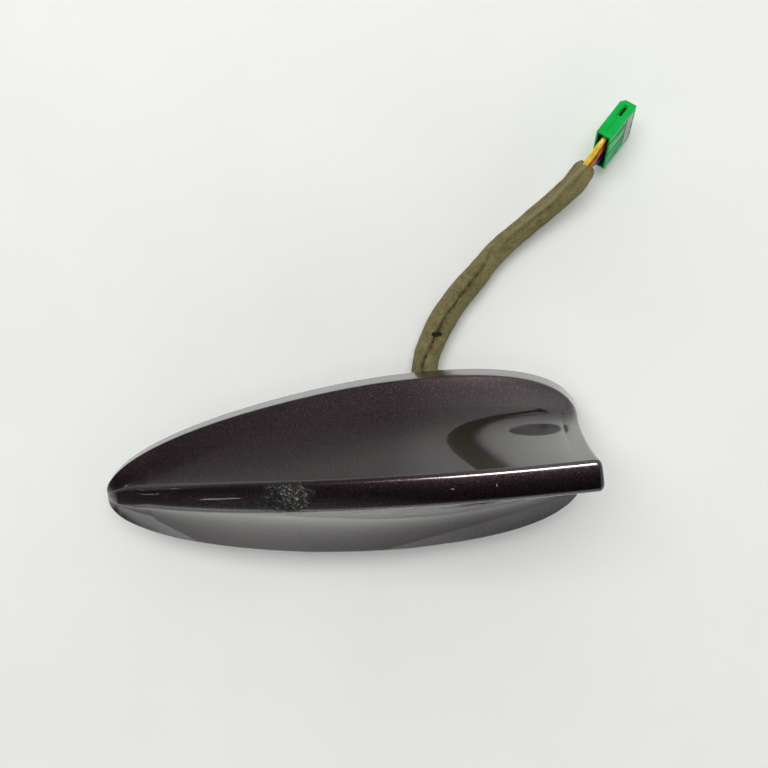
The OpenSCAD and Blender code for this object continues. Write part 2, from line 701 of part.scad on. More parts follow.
module plug_housing() {
    color("#1fb35a") plug_place() difference() {
        translate([0, -plug_t / 2, -plug_w / 2]) cube([plug_len, plug_t, plug_w]);
        translate([-1, -plug_t / 2 + plug_wall, -plug_w / 2 + plug_wall])
            cube([well_depth + 1, plug_t - 2 * plug_wall, plug_w - 2 * plug_wall]);
        for (z = contact_z) {
            translate([0, -cavity_t / 2, z - cavity_w / 2])
                cube([plug_len - face_wall, cavity_t, cavity_w]);
            translate([plug_len / 2, -0.6, z - 0.6]) cube([plug_len, 1.2, 1.2]);
        }
        translate([plug_len - 1.6 - key_len, -key_w / 2, plug_w / 2 - key_depth])
            cube([key_len, key_w, key_depth + 1]);
        translate([retainer_x, -plug_t / 2 - 1, retainer_low])
            cube([retainer_len, retainer_depth + 1 - 0.3, retainer_top - retainer_low]);
    }
}

module plug_retainer() {
    gap = 0.05;
    color("#9fa3a3") plug_place()
        translate([retainer_x + gap, -plug_t / 2 - retainer_proud, retainer_low + gap])
            cube([retainer_len - 2 * gap, retainer_depth - 0.3 + retainer_proud - gap,
                retainer_top - retainer_low - 2 * gap]);
}

// The crimped contacts in their chambers
module plug_contacts() {
    color("#c7a04e") plug_place() for (z = contact_z)
        translate([contact_from, -contact_t / 2, z - contact_w / 2])
            cube([contact_len, contact_t, contact_w]);
}

fin_cover();
base_plate();
rim_seal();
neck_seal();
lead_grommet();
main_board();
gps_patch();
patch_face();
patch_pin();
shield_can();
board_chips();
board_header();
inner_plug();
inner_leads();
fin_bracket();
fin_board();
fin_cap();
board_screws();
cover_screws();
harness_sleeve();
wire_yellow();
wire_orange();
wire_red();
wire_violet();
plug_housing();
plug_retainer();
plug_contacts();
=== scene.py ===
# %% [markdown]
# # A car roof antenna under a glossy shark-fin cover
# The object is one roof antenna, taken off the car and laid on a pale table. Its cover is a hollow
# fin of dark maroon metallic plastic. A short pigtail in felt tape comes out from under the rim and
# ends in a green plug. The solid model gives every size. This file gives the looks: a new skin where
# the solid is too plain, and a finish for every piece.

import json
import math

import bmesh
import bpy
from mathutils import Euler, Matrix, Vector, noise


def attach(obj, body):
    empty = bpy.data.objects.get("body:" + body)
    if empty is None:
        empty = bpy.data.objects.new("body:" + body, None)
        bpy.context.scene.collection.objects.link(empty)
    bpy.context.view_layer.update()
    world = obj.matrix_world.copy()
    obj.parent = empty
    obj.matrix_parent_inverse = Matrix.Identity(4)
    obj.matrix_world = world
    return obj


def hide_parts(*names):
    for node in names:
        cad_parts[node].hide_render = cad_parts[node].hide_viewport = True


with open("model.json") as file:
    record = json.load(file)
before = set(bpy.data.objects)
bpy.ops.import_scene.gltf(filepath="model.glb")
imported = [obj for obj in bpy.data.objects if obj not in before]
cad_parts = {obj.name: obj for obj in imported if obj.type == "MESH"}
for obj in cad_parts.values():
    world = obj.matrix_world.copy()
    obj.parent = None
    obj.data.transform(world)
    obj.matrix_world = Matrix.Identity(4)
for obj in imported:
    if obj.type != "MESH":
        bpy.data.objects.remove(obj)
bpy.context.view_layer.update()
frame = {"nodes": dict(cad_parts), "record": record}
bpy.ops.object.select_all(action="DESELECT")

MM = 0.001
# The table lies under the lowest face of the solids, the foot of the neck
FLOOR = -10.6 * MM

# %% [markdown]
# ## The camera
# The photograph was taken from almost straight above, from about a third of a metre. The camera could
# be turned by three angles. The directions of its axes are given instead, because they were worked
# out from the outline of the rim and the ridge, so that the fin's corners fall as in the picture.

# %% Place the camera
CAMERA_PLACE = (0.04203, 0.06299, 0.33378)
LENS, SENSOR = 51.61, 36
# The directions of the picture's right and top edges, and of the way back to the camera
PICTURE_RIGHT = Vector((0.9866, -0.1356, -0.0908))
PICTURE_UP = Vector((0.1235, 0.9841, -0.1276))
PICTURE_BACK = Vector((0.1067, 0.1146, 0.9877))


def add(name, data):
    """A new object in the scene, made from its data."""
    thing = bpy.data.objects.new(name, data)
    bpy.context.scene.collection.objects.link(thing)
    return thing


camera_data = bpy.data.cameras.new("camera")
camera_data.sensor_width = SENSOR
camera_data.lens = LENS
camera_data.clip_start = 0.01
camera = add("camera", camera_data)
camera.location = CAMERA_PLACE
camera.rotation_mode = "QUATERNION"
camera_axes = Matrix((PICTURE_RIGHT, PICTURE_UP, PICTURE_BACK)).transposed()
camera.rotation_quaternion = camera_axes.to_quaternion()
bpy.context.scene.camera = camera
print("camera height over the table:", round(camera.location.z - FLOOR, 3))

# %% [markdown]
# ## The pigtail's route
# The sleeve comes out of the slot in the neck, runs under the rim and over the table, and lifts a
# little towards the plug. A cord could be drawn as a curve with a few handles. A list of points is
# used, because the solid model has the same ones, and a smooth line through them bends gently.

# %% Give the route of the sleeve
SLEEVE_R = 4.2 * MM
LIFT = 0.1 * MM
SLEEVE_Z = FLOOR + SLEEVE_R + LIFT
ROUTE_MM = (
    (13, 4, 0), (14, 7.5, 0), (15, 11, 0), (16, 14.7, 0), (17, 18.5, 0), (17.8, 22.2, 0),
    (18.3, 25.3, 0), (18.9, 28.2, 0), (20.1, 31.4, 0), (22.1, 35, 0), (24.1, 38.4, 0),
    (26.7, 41.9, 0), (29.7, 45.2, 0), (32.9, 48.5, 0), (36.4, 51.7, 0), (39.9, 55, 0.1),
    (43.4, 58.2, 0.3), (47.4, 61.3, 0.7), (51.9, 64.3, 1.3), (56.7, 67.3, 2.1), (61.2, 70.2, 3.2),
    (65.6, 73.1, 4.6), (69.6, 76, 5.8), (72.5, 79, 6.8), (74.5, 81, 7.4),
)
STEPS_BETWEEN = 6
route = [Vector((x * MM, y * MM, z * MM + SLEEVE_Z)) for x, y, z in ROUTE_MM]


def smooth_line(points, steps):
    """More points along a line that bends smoothly through the ones given."""
    line = []
    for i in range(len(points) - 1):
        before = points[max(i - 1, 0)]
        start, end = points[i], points[i + 1]
        after = points[min(i + 2, len(points) - 1)]
        bend = 2 * before - 5 * start + 4 * end - after
        twist = 3 * start - before - 3 * end + after
        for k in range(steps):
            t = k / steps
            line.append(0.5 * (2 * start + (end - before) * t + bend * t * t + twist * t ** 3))
    return line + [points[-1]]


def length_of(line):
    return sum((b - a).length for a, b in zip(line, line[1:]))


sleeve_line = smooth_line(route, STEPS_BETWEEN)
print("sleeve length:", round(length_of(sleeve_line), 4))

# %% [markdown]
# ## The shape of the felt-taped sleeve
# The wires are wrapped lengthwise in one strip of felt tape. Its free edge shows as a seam that winds
# slowly from the middle of the top to the left and back, with a soft fold beside it near the plug. A
# round tube with a seam only in its colour would look moulded. So the tube is swept ring by ring, and
# each ring is pushed in and out to give the lap, the seam and the creases.

# %% Shape of the sleeve's rings
SIDES = 64
# Where the seam lies at shares of the sleeve's length, in degrees from the left side over the top
SEAM = (
    (0, 84), (0.28, 84), (0.37, 98), (0.5, 100), (0.62, 92),
    (0.69, 66), (0.8, 70), (0.85, 74), (0.92, 64), (1, 78),
)
# The sleeve's radius in millimetres at shares of its length
GIRTH = (
    (0, 4.1), (0.3, 4.1), (0.42, 4.25), (0.55, 4.1), (0.68, 3.5),
    (0.82, 3.4), (0.92, 3.6), (0.97, 3.4), (1, 2.6),
)
# Shares of the length where the lap has flattened out and where the fold starts
LAP_END, FOLD_START = 0.72, 0.66
# Heights and depths in millimetres
LAP_H, SEAM_D, FOLD_H, GROOVE_D, SECOND_GROOVE_D = 0.5, 0.75, 0.6, 0.55, 0.25
# How far past the seam each lies and how wide it is, in degrees
SEAM_AT, FOLD_AT, GROOVE_AT, SECOND_GROOVE_AT = (-3, 5), (0, 12), (26, 10), (-32, 9)
LAP_WIDTH = 45
# Heights of the waves in millimetres, and the scales of their noise
BIG_WAVES, BIG_SCALE, SMALL_WAVES, SMALL_SCALE = 0.2, 170, 0.1, 520


def along_stops(stops, t):
    """A value between stops, eased in and out."""
    for (a, low), (b, high) in zip(stops, stops[1:]):
        if t <= b:
            s = (t - a) / (b - a)
            return low + (high - low) * s * s * (3 - 2 * s)
    return stops[-1][1]


def past_seam(t, degrees):
    """The angle from the seam, from -180 to 180, more on the right."""
    return (degrees - along_stops(SEAM, t) + 180) % 360 - 180


def hump(past, middle, width):
    """A smooth hump, 1 at its middle and nearly 0 two widths away."""
    return math.exp(-((past - middle) / width) ** 2)


def comes_in(share, steepness):
    """From 0 up to 1, the faster the steeper."""
    return min(1.0, max(0.0, share) * steepness)


def sleeve_radius(t, degrees, point):
    """The sleeve's radius at a share of its length and an angle, with its lap, seam and creases."""
    past = past_seam(t, degrees)
    near_exit = max(0.0, 1 - t / LAP_END)
    near_plug = max(0.0, t - FOLD_START) / (1 - FOLD_START)
    lap = LAP_H * near_exit * math.exp(-past / LAP_WIDTH) if past > 0 else 0.0
    seam = SEAM_D * hump(past, *SEAM_AT) * comes_in(near_exit, 3)
    fold = FOLD_H * hump(past, *FOLD_AT) - GROOVE_D * hump(past, *GROOVE_AT)
    second = SECOND_GROOVE_D * hump(past, *SECOND_GROOVE_AT) * comes_in(near_plug, 2)
    waves = BIG_WAVES * noise.noise(point * BIG_SCALE) + SMALL_WAVES * noise.noise(point * SMALL_SCALE)
    creases = fold * comes_in(near_plug, 4) - second + waves - SMALL_WAVES
    return (along_stops(GIRTH, t) + lap - seam + creases) * MM


for share in (0, 0.5, 1):
    print("sleeve radius at", share, round(along_stops(GIRTH, share), 2), "mm")

# %% [markdown]
# ## The sweep
# A curve with a round bevel makes a plain tube, whose rings can't be changed one by one. Here each
# ring is placed square to the line, from a radius that may differ all round. The tube also gets its
# own coordinates, round it and along it, for patterns that follow the tape.

# %% Sweep a tube along a line
# How far outside the line the noise for each corner is read
NOISE_REACH = 4 * MM


def sweep(name, line, radius_at, sides):
    """A closed tube along a line, with a coordinate round it and one along it, in millimetres."""
    bm = bmesh.new()
    uv = bm.loops.layers.uv.new("UVMap")
    rings, runs = [], [0.0]
    for a, b in zip(line, line[1:]):
        runs.append(runs[-1] + (b - a).length)
    for i, point in enumerate(line):
        ahead = (line[min(i + 1, len(line) - 1)] - line[max(i - 1, 0)]).normalized()
        across = Vector((0, 0, 1)).cross(ahead).normalized()
        upward = ahead.cross(across)
        ring = []
        for j in range(sides):
            degrees = 360 * j / sides
            a = math.radians(degrees)
            direction = across * math.cos(a) + upward * math.sin(a)
            radius = radius_at(i / (len(line) - 1), degrees, point + direction * NOISE_REACH)
            ring.append(bm.verts.new(point + direction * radius))
        rings.append(ring)
    for i in range(len(rings) - 1):
        for j in range(sides):
            k = (j + 1) % sides
            face = bm.faces.new((rings[i][j], rings[i][k], rings[i + 1][k], rings[i + 1][j]))
            corners = ((j, i), (j + 1, i), (j + 1, i + 1), (j, i + 1))
            for loop, (round_it, along) in zip(face.loops, corners):
                loop[uv].uv = (round_it / sides, runs[along] / MM)
    bm.faces.new(rings[0][::-1])
    bm.faces.new(rings[-1])
    mesh = bpy.data.meshes.new(name)
    bm.normal_update()
    bm.to_mesh(mesh)
    bm.free()
    return add(name, mesh)


sleeve = sweep("taped_sleeve", sleeve_line, sleeve_radius, SIDES)
print("sleeve:", len(sleeve.data.vertices), "vertices in", len(sleeve_line), "rings")

# %% [markdown]
# ## Marks for the tape's colours
# The tape is brown on one side of the seam and olive on the other. The seam's groove is darkened
# with painted shade and the raised fold lightened with a painted highlight. A pattern in space can't
# follow the seam. So each vertex keeps three numbers for the felt: its side of the seam, how deep it
# lies in it, and how high on the fold.

# %% Keep numbers at the vertices
# The share of the length where the seam's painted shade fades out
SEAM_SHADE_END = 0.74


def keep_numbers(piece, name, numbers):
    """Keep one number for each vertex under a name."""
    attribute = piece.data.attributes.new(name, "FLOAT", "POINT")
    attribute.data.foreach_set("value", numbers)


places = [
    (i / (len(sleeve_line) - 1), past_seam(i / (len(sleeve_line) - 1), 360 * j / SIDES))
    for i in range(len(sleeve_line))
    for j in range(SIDES)
]
keep_numbers(sleeve, "side_of_seam", [0.5 + 0.5 * math.sin(math.radians(past)) for t, past in places])
keep_numbers(
    sleeve, "in_seam",
    [hump(past, -3, 9) * comes_in(SEAM_SHADE_END - t, 8) for t, past in places],
)
keep_numbers(
    sleeve, "on_fold",
    [hump(past, 2, 8) * comes_in(t - FOLD_START, 8) for t, past in places],
)
print("numbers kept:", [a.name for a in sleeve.data.attributes if a.data_type == "FLOAT"])

# %% [markdown]
# ## The sleeve's mouth
# The tape's end was cut by hand. A boolean would leave a sharp round hole. The end face is inset twice
# and pulled into the tube instead, so that the wires come out of a shallow mouth with a soft lip.

# %% Open the sleeve's mouth
LIP, LIP_STEP, MOUTH_DEPTH = 0.45 * MM, 0.35 * MM, 1.4 * MM


def only(piece):
    """Select one piece and make it the active one."""
    bpy.ops.object.select_all(action="DESELECT")
    piece.select_set(True)
    bpy.context.view_layer.objects.active = piece


def edit_all(piece):
    """Open a piece in edit mode with all of it selected."""
    only(piece)
    bpy.ops.object.mode_set(mode="EDIT")
    bpy.ops.mesh.select_all(action="SELECT")


def end_edit():
    bpy.ops.object.mode_set(mode="OBJECT")


edit_all(sleeve)
bpy.ops.mesh.select_all(action="DESELECT")
end_edit()
end_faces = [f for f in sleeve.data.polygons if (f.center - route[-1]).length < 1 * MM]
max(end_faces, key=lambda face: len(face.vertices)).select = True
bpy.ops.object.mode_set(mode="EDIT")
bpy.ops.mesh.inset(thickness=LIP)
bpy.ops.mesh.inset(thickness=LIP_STEP)
bpy.ops.transform.translate(value=tuple((route[-2] - route[-1]).normalized() * MOUTH_DEPTH))
bpy.ops.mesh.select_all(action="SELECT")
bpy.ops.mesh.normals_make_consistent(inside=False)
end_edit()
print("mouth", MOUTH_DEPTH / MM, "mm deep, faces now:", len(sleeve.data.polygons))

# %% [markdown]
# ## Tools for finishes
# A finish is a small graph of nodes, and the same few come back in every one: a noise, a ramp from a
# number to a colour, a mix, a sum and a bump. Short functions keep each recipe readable. Patterns read
# object coordinates, which are metres on the table, because each piece's place is in its mesh.


# %% Functions for noises, ramps and mixes
def new_material(name):
    """A material with its node tree, its shader and its object coordinates."""
    material = bpy.data.materials.new(name)
    material.use_nodes = True
    nodes = material.node_tree.nodes
    place = nodes.new("ShaderNodeTexCoord")
    return material, material.node_tree, nodes["Principled BSDF"], place.outputs["Object"]


def feed(tree, value, socket):
    """Give a socket a link, a colour or a number."""
    if isinstance(value, bpy.types.NodeSocket):
        tree.links.new(value, socket)
    elif hasattr(value, "__len__"):
        socket.default_value = (*value, 1)
    else:
        socket.default_value = value


def set_up(tree, node, values):
    """Give a node's sockets their links, colours or numbers."""
    for name, value in values.items():
        feed(tree, value, node.inputs[name])


def mapped(tree, place, change, amounts):
    """Coordinates stretched or turned by a Mapping node."""
    mapping = tree.nodes.new("ShaderNodeMapping")
    mapping.inputs[change].default_value = amounts
    tree.links.new(place, mapping.inputs["Vector"])
    return mapping.outputs["Vector"]


def noise_at(tree, place, scale, detail=3.0, roughness=0.5, stretch=None):
    """A noise pattern on some coordinates, in patches of about 1 / scale metres."""
    if stretch:
        place = mapped(tree, place, "Scale", stretch)
    texture = tree.nodes.new("ShaderNodeTexNoise")
    set_up(tree, texture, {"Vector": place, "Scale": scale, "Detail": detail, "Roughness": roughness})
    return texture.outputs["Fac"]


def ramp(tree, value, *stops):
    """Colours or greys along a value: each stop is a position and a colour."""
    node = tree.nodes.new("ShaderNodeValToRGB")
    elements = node.color_ramp.elements
    while len(elements) < len(stops):
        elements.new(0.5)
    for element, (position, colour) in zip(elements, stops):
        element.position = position
        element.color = (*colour, 1) if hasattr(colour, "__len__") else (colour, colour, colour, 1)
    tree.links.new(value, node.inputs["Fac"])
    return node.outputs["Color"]


def mixed(tree, share, first, second):
    """Two colours mixed by a share. Each of the three may be a link or a plain value."""
    node = tree.nodes.new("ShaderNodeMix")
    node.data_type = "RGBA"
    feed(tree, share, node.inputs["Factor"])
    feed(tree, first, node.inputs[6])
    feed(tree, second, node.inputs[7])
    return node.outputs[2]


def sum_up(tree, operation, first, second=0.0, third=0.5):
    """A plain sum on up to three values."""
    node = tree.nodes.new("ShaderNodeMath")
    node.operation = operation
    for socket, value in zip(node.inputs, (first, second, third)):
        feed(tree, value, socket)
    return node.outputs[0]


def times(tree, first, second):
    return sum_up(tree, "MULTIPLY", first, second)


def bumped(tree, shader, height, depth, strength=1.0):
    """Bump from a height pattern whose full range is that deep, in metres."""
    node = tree.nodes.new("ShaderNodeBump")
    set_up(tree, node, {"Height": height, "Distance": depth, "Strength": strength})
    tree.links.new(node.outputs["Normal"], shader.inputs["Normal"])

# %% [markdown]
# ## Worn places
# A hole in the tape, a stain, a scuff and a chip are each one patch at one place. They could be
# painted on by hand. Here a patch is the inside of a stretched ball, and noise makes its edge ragged.


# %% Functions for patches and kept numbers
def kept_number(tree, name):
    node = tree.nodes.new("ShaderNodeAttribute")
    node.attribute_name = name
    return node.outputs["Fac"]


def vector_sum(tree, operation, first, second=None):
    node = tree.nodes.new("ShaderNodeVectorMath")
    node.operation = operation
    tree.links.new(first, node.inputs[0])
    if second:
        node.inputs[1].default_value = [c * MM for c in second]
    return node.outputs


def patch(tree, place, centre, size, ragged=0.0, scale=900):
    """1 inside a patch given in millimetres and 0 outside it, with an edge as ragged as asked for."""
    shift = vector_sum(tree, "SUBTRACT", place, centre)
    share = vector_sum(tree, "DIVIDE", shift[0], size)
    distance = vector_sum(tree, "LENGTH", share[0])["Value"]
    edge = sum_up(tree, "MULTIPLY_ADD", noise_at(tree, place, scale, 3), ragged, distance)
    return ramp(tree, sum_up(tree, "SUBTRACT", edge, ragged / 2), (0.75, 1.0), (1.0, 0.0))

# %% [markdown]
# ## Felt tape
# The tape is a thin matt felt, brown and olive, with blotches, fine fibres and strands that run along
# the sleeve. A single noise looks like stone, so five of different sizes are laid over each other, and
# the finest two also lift the surface. One small hole, drawn as a patch of painted shade, and one dirty
# place follow the photograph.

# %% Felt
BROWN = ((0.35, (0.105, 0.075, 0.04)), (0.6, (0.19, 0.145, 0.07)))
OLIVE = ((0.4, (0.1, 0.088, 0.03)), (0.62, (0.27, 0.245, 0.085)))
BLOTCHES = ((0.4, (0.06, 0.048, 0.02)), (0.62, (0.29, 0.26, 0.115)))
STRANDS = ((0.38, (0.05, 0.04, 0.018)), (0.62, (0.3, 0.265, 0.125)))
SPECKS = ((0.35, (0.07, 0.055, 0.02)), (0.65, (0.28, 0.24, 0.09)))
FIBRES = ((0.35, (0.06, 0.05, 0.018)), (0.66, (0.3, 0.26, 0.1)))
# Painted shade for the seam's groove and a painted highlight for the raised fold
SEAM_PAINTED_SHADE, FOLD_PAINTED_HIGHLIGHT = (0.02, 0.016, 0.008), (0.34, 0.3, 0.16)
# The first is painted shade for the inside of the small hole, the second the dirt's colour
HOLE_PAINTED_SHADE, DIRT = (0.01, 0.01, 0.005), (0.045, 0.045, 0.03)
# Worn places: centre and size in millimetres, raggedness, and the scale of its noise
HOLE = ((23.9, 37.1, -2.1), (1.9, 0.9, 2.5), 1.3, 800)
DIRTY = ((47.2, 60.2, -2), (2.0, 1.1, 4), 2.6, 520)

felt, tree, shader, place = new_material("felt")
tape = tree.nodes.new("ShaderNodeUVMap")
tape.uv_map = "UVMap"
clouds = noise_at(tree, place, 75, 4, 0.6)
specks = noise_at(tree, place, 420, 4, 0.7)
fibres = noise_at(tree, place, 1500, 5, 0.75)
blotches = noise_at(tree, place, 210, 4, 0.65)
strands = noise_at(tree, tape.outputs["UV"], 1.0, 4, 0.65, (26, 0.35, 1))

olive_side = ramp(tree, kept_number(tree, "side_of_seam"), (0.42, 0.0), (0.62, 1.0))
base = mixed(tree, olive_side, ramp(tree, clouds, *BROWN), ramp(tree, clouds, *OLIVE))
layers = (
    (0.45, blotches, BLOTCHES), (0.4, strands, STRANDS), (0.3, specks, SPECKS), (0.45, fibres, FIBRES))
for share, pattern, colours in layers:
    base = mixed(tree, share, base, ramp(tree, pattern, *colours))
# The seam's groove gets painted shade, broken up by noise, and the raised fold a painted highlight
uneven_seam_shade = ramp(tree, noise_at(tree, place, 650, 4, 0.7), (0.4, 0.25), (0.6, 1.0))
base = mixed(tree, times(tree, kept_number(tree, "in_seam"), uneven_seam_shade), base, SEAM_PAINTED_SHADE)
base = mixed(tree, times(tree, kept_number(tree, "on_fold"), 0.55), base, FOLD_PAINTED_HIGHLIGHT)
# The small hole is a patch of painted shade
base = mixed(tree, patch(tree, place, *HOLE), base, HOLE_PAINTED_SHADE)
base = mixed(tree, times(tree, patch(tree, place, *DIRTY), 0.38), base, DIRT)
matt = {"Roughness": 0.95, "Specular IOR Level": 0.05, "Sheen Weight": 0.08, "Sheen Roughness": 0.6}
set_up(tree, shader, {"Base Color": base, **matt})
bumped(tree, shader, sum_up(tree, "ADD", fibres, specks), 0.4 * MM, 0.9)


def finish_piece(piece, material, angle):
    """Smooth shading up to an angle, a material, and the body it rides on."""
    only(piece)
    bpy.ops.object.shade_smooth_by_angle(angle=math.radians(angle))
    piece.data.materials.clear()
    piece.data.materials.append(material)
    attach(piece, "root")
    print(piece.name, len(piece.data.polygons), "faces")


finish_piece(sleeve, felt, 60)
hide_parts("harness_sleeve")

# %% [markdown]
# ## The plug's place
# The plug leans on its mating end. It could be turned until it looks right. Here it has a frame of its
# own: X runs from its wire entry to its mating end, and the row of contacts stands along Z. Its height
# then follows from its size and its angles.

# %% Place the plug
PLUG_LEN, PLUG_T, PLUG_W = 14 * MM, 4.8 * MM, 15 * MM
PLUG_ROLL, PLUG_PITCH, PLUG_YAW = math.radians(-17), math.radians(26), math.radians(44)
PLUG_ENTRY = (78.4 * MM, 84.6 * MM)
CONTACT_PITCH = 3.2

plug_angles = Euler((PLUG_ROLL, PLUG_PITCH, PLUG_YAW), "XYZ")
half_height = PLUG_T / 2 * math.sin(-PLUG_ROLL) + PLUG_W / 2 * math.cos(PLUG_ROLL)
plug_rest = PLUG_LEN * math.sin(PLUG_PITCH) + math.cos(PLUG_PITCH) * half_height
plug_at = Vector((*PLUG_ENTRY, plug_rest + FLOOR + LIFT))
plug_place = Matrix.Translation(plug_at) @ plug_angles.to_matrix().to_4x4()


def plug_point(x, y, z):
    """A point of the plug's own frame, in millimetres, in its place."""
    return plug_place @ Vector((x * MM, y * MM, z * MM))


print("plug's wire entry is", round((plug_at.z - FLOOR) / MM, 1), "mm over the table")

# %% [markdown]
# ## The four wires
# Four thin wires go from the sleeve into the back of the plug. Straight tubes would kink at both ends.
# Each wire is one smooth curve, straight where it leaves the sleeve and where it enters its chamber.

# %% Route the wires
WIRE_R = 0.8 * MM
WIRE_SIDES, WIRE_STEPS = 20, 24
# How far apart the wires lie where they leave the sleeve, up and across, in wire radii
WIRE_RISE, WIRE_SPREAD = 1.5, 0.9
# How deep each wire starts in the sleeve, and how far it runs straight, in millimetres
INSIDE_SLEEVE, STRAIGHT = 1.1, 2.2
# Slot, colour and darker shade of each wire, from the top of the plug down
WIRES = (
    ("wire_yellow", (0.86, 0.62, 0.02), (0.66, 0.44, 0.01)),
    ("wire_orange", (0.5, 0.13, 0.02), (0.3, 0.07, 0.01)),
    ("wire_red", (0.32, 0.02, 0.045), (0.18, 0.01, 0.03)),
    ("wire_violet", (0.05, 0.04, 0.16), (0.025, 0.02, 0.08)),
)


def smooth_bend(a, b, c, d, steps):
    """A curve from a to d that leaves a towards b and reaches d from c."""
    line = []
    for i in range(steps + 1):
        t = i / steps
        s = 1 - t
        line.append(a * s ** 3 + 3 * b * s ** 2 * t + 3 * c * s * t * t + d * t ** 3)
    return line


def wire_line(i):
    """The line of one wire, counted from the top."""
    ahead = (route[-1] - route[-2]).normalized()
    across = Vector((0, 0, 1)).cross(ahead).normalized()
    upward = ahead.cross(across)
    side = WIRE_SPREAD * WIRE_R if i % 2 == 0 else -WIRE_SPREAD * WIRE_R
    start = route[-1] + upward * (1.5 - i) * WIRE_RISE * WIRE_R + across * side
    row = (1.5 - i) * CONTACT_PITCH
    return smooth_bend(
        start - ahead * INSIDE_SLEEVE * MM, start + ahead * STRAIGHT * MM,
        plug_point(-2, 0, row), plug_point(3.0, 0, row), WIRE_STEPS)


def insulation(name, colour, dark):
    """Soft shiny plastic, a little uneven in colour."""
    material, tree, shader, place = new_material(name)
    haze = noise_at(tree, place, 700, 3)
    shade = ramp(tree, haze, (0.3, dark), (0.6, colour))
    set_up(tree, shader, {"Base Color": shade, "Roughness": 0.38, "Specular IOR Level": 0.5})
    bumped(tree, shader, haze, 0.02 * MM, 0.4)
    return material


for i, (slot, colour, dark) in enumerate(WIRES):
    wire = sweep(
        slot.replace("wire_", "lead_"), wire_line(i), lambda t, degrees, point: WIRE_R, WIRE_SIDES)
    finish_piece(wire, insulation(slot, colour, dark), 60)
    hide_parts(slot)

# %% [markdown]
# ## The plug's shape
# The plug is a small moulded housing with rounded edges and one long edge cut slanting at its mating
# end. It could be built again from a cube. The solid already has its well, chambers, keyway and
# retainer slot, so a copy of it is merged into one skin and its flat faces are joined. Then the
# slanting edge is cut off, and a fine bevel rounds every edge.

# %% Round the plug's edges
EDGE_ROUND = 0.22 * MM
EDGE_SEGMENTS = 3
# A point on the slanting cut and its direction, in the plug's own frame
CUT_POINT, CUT_OUTWARD = (14, 1.3, 0), Vector((1.1, 1.2, 0))

plug = add("plug_shell", frame["nodes"]["plug_housing"].data.copy())
plug.data.materials.clear()
edit_all(plug)
bpy.ops.mesh.remove_doubles(threshold=0.001 * MM)
bpy.ops.mesh.dissolve_limited(angle_limit=math.radians(1))
bpy.ops.mesh.select_all(action="SELECT")
bpy.ops.mesh.bisect(
    plane_co=plug_point(*CUT_POINT),
    plane_no=plug_angles.to_matrix() @ CUT_OUTWARD.normalized(),
    use_fill=True,
    clear_outer=True,
)
end_edit()
bevel = plug.modifiers.new("edges", "BEVEL")
bevel.width = EDGE_ROUND
bevel.segments = EDGE_SEGMENTS
bevel.limit_method = "ANGLE"
bevel.angle_limit = math.radians(35)
bpy.ops.object.modifier_apply(modifier=bevel.name)
print("plug:", len(plug.data.polygons), "faces after the bevel")

# %% [markdown]
# ## The plug's green plastic
# The housing is bright green and dull on its flat top. The side that faces the viewer is paler, in
# long streaks: a painted reflection of the table with painted highlights. An image would need a file.
# A Mapping node turned like the plug gives the pattern the plug's own frame instead, so that a line
# or a slot is just a box in millimetres.

# %% Moulded green
GREEN = ((0.3, (0.002, 0.34, 0.045)), (0.7, (0.003, 0.45, 0.07)))
# Pale streaks for the side that faces the viewer: a painted reflection with painted highlights
SIDE_PAINTED_REFLECTION = ((0.42, (0.004, 0.2, 0.05)), (0.5, (0.06, 0.4, 0.14)), (0.62, (0.2, 0.48, 0.25)))
# The top line's colour, and painted shade for the well and for the slots
LINE_GREEN, WELL_PAINTED_SHADE, SLOT_PAINTED_SHADE = (0.002, 0.22, 0.03), (0.002, 0.05, 0.012), (0.002, 0.02, 0.004)
# Boxes in the plug's own frame, in millimetres: along it, across it, and up
PAINTED_REFLECTION_SIDE = ((-1, 15), (-3, -2.2), (-8, 7.3))
TOP_LINE = ((1.5, 7.6), (-0.15, 0.15), (7, 8))
KEYWAY = ((8.6, 12.1), (-0.45, 0.45), (6.4, 8))
SIDE_HOLE = ((6.6, 7.3), (-3, -2.2), (5.6, 6.3))
WELL = ((-1, 2.6), (-1.75, 1.75), (-6.9, 6.9))

green, tree, shader, place = new_material("plug_green")
own_frame = tree.nodes.new("ShaderNodeMapping")
own_frame.vector_type = "TEXTURE"
own_frame.inputs["Location"].default_value = plug_at
own_frame.inputs["Rotation"].default_value = plug_angles
tree.links.new(place, own_frame.inputs["Vector"])
own = own_frame.outputs["Vector"]
axes = tree.nodes.new("ShaderNodeSeparateXYZ")
tree.links.new(own, axes.inputs["Vector"])


def between(axis, low, high):
    """1 between two places on one of the plug's own axes, in millimetres."""
    middle, half = (low + high) / 2 * MM, (high - low) / 2 * MM
    distance = sum_up(tree, "ABSOLUTE", sum_up(tree, "SUBTRACT", axes.outputs[axis], middle))
    return sum_up(tree, "LESS_THAN", distance, half)


def in_box(box):
    """1 inside a box of the plug's own frame."""
    along, across, up = (between(axis, *limits) for axis, limits in zip("XYZ", box))
    return times(tree, times(tree, along, across), up)


moulded = ramp(tree, noise_at(tree, place, 260, 3), *GREEN)
# The side that faces the viewer gets pale streaks, a painted reflection of the table
side_reflection = ramp(tree, noise_at(tree, own, 500, 3, 0.6, (0.12, 1, 1)), *SIDE_PAINTED_REFLECTION)
moulded = mixed(tree, in_box(PAINTED_REFLECTION_SIDE), moulded, side_reflection)
moulded = mixed(tree, times(tree, in_box(TOP_LINE), 0.5), moulded, LINE_GREEN)
# The keyway, the side hole and the well are darkened: painted shade in the recesses
for box, shade in ((KEYWAY, SLOT_PAINTED_SHADE), (SIDE_HOLE, SLOT_PAINTED_SHADE), (WELL, WELL_PAINTED_SHADE)):
    moulded = mixed(tree, in_box(box), moulded, shade)
set_up(tree, shader, {"Base Color": moulded, "Roughness": 0.5, "Specular IOR Level": 0.04})
bumped(tree, shader, noise_at(tree, place, 2600, 2), 0.02 * MM, 0.35)
finish_piece(plug, green, 40)
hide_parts("plug_housing")
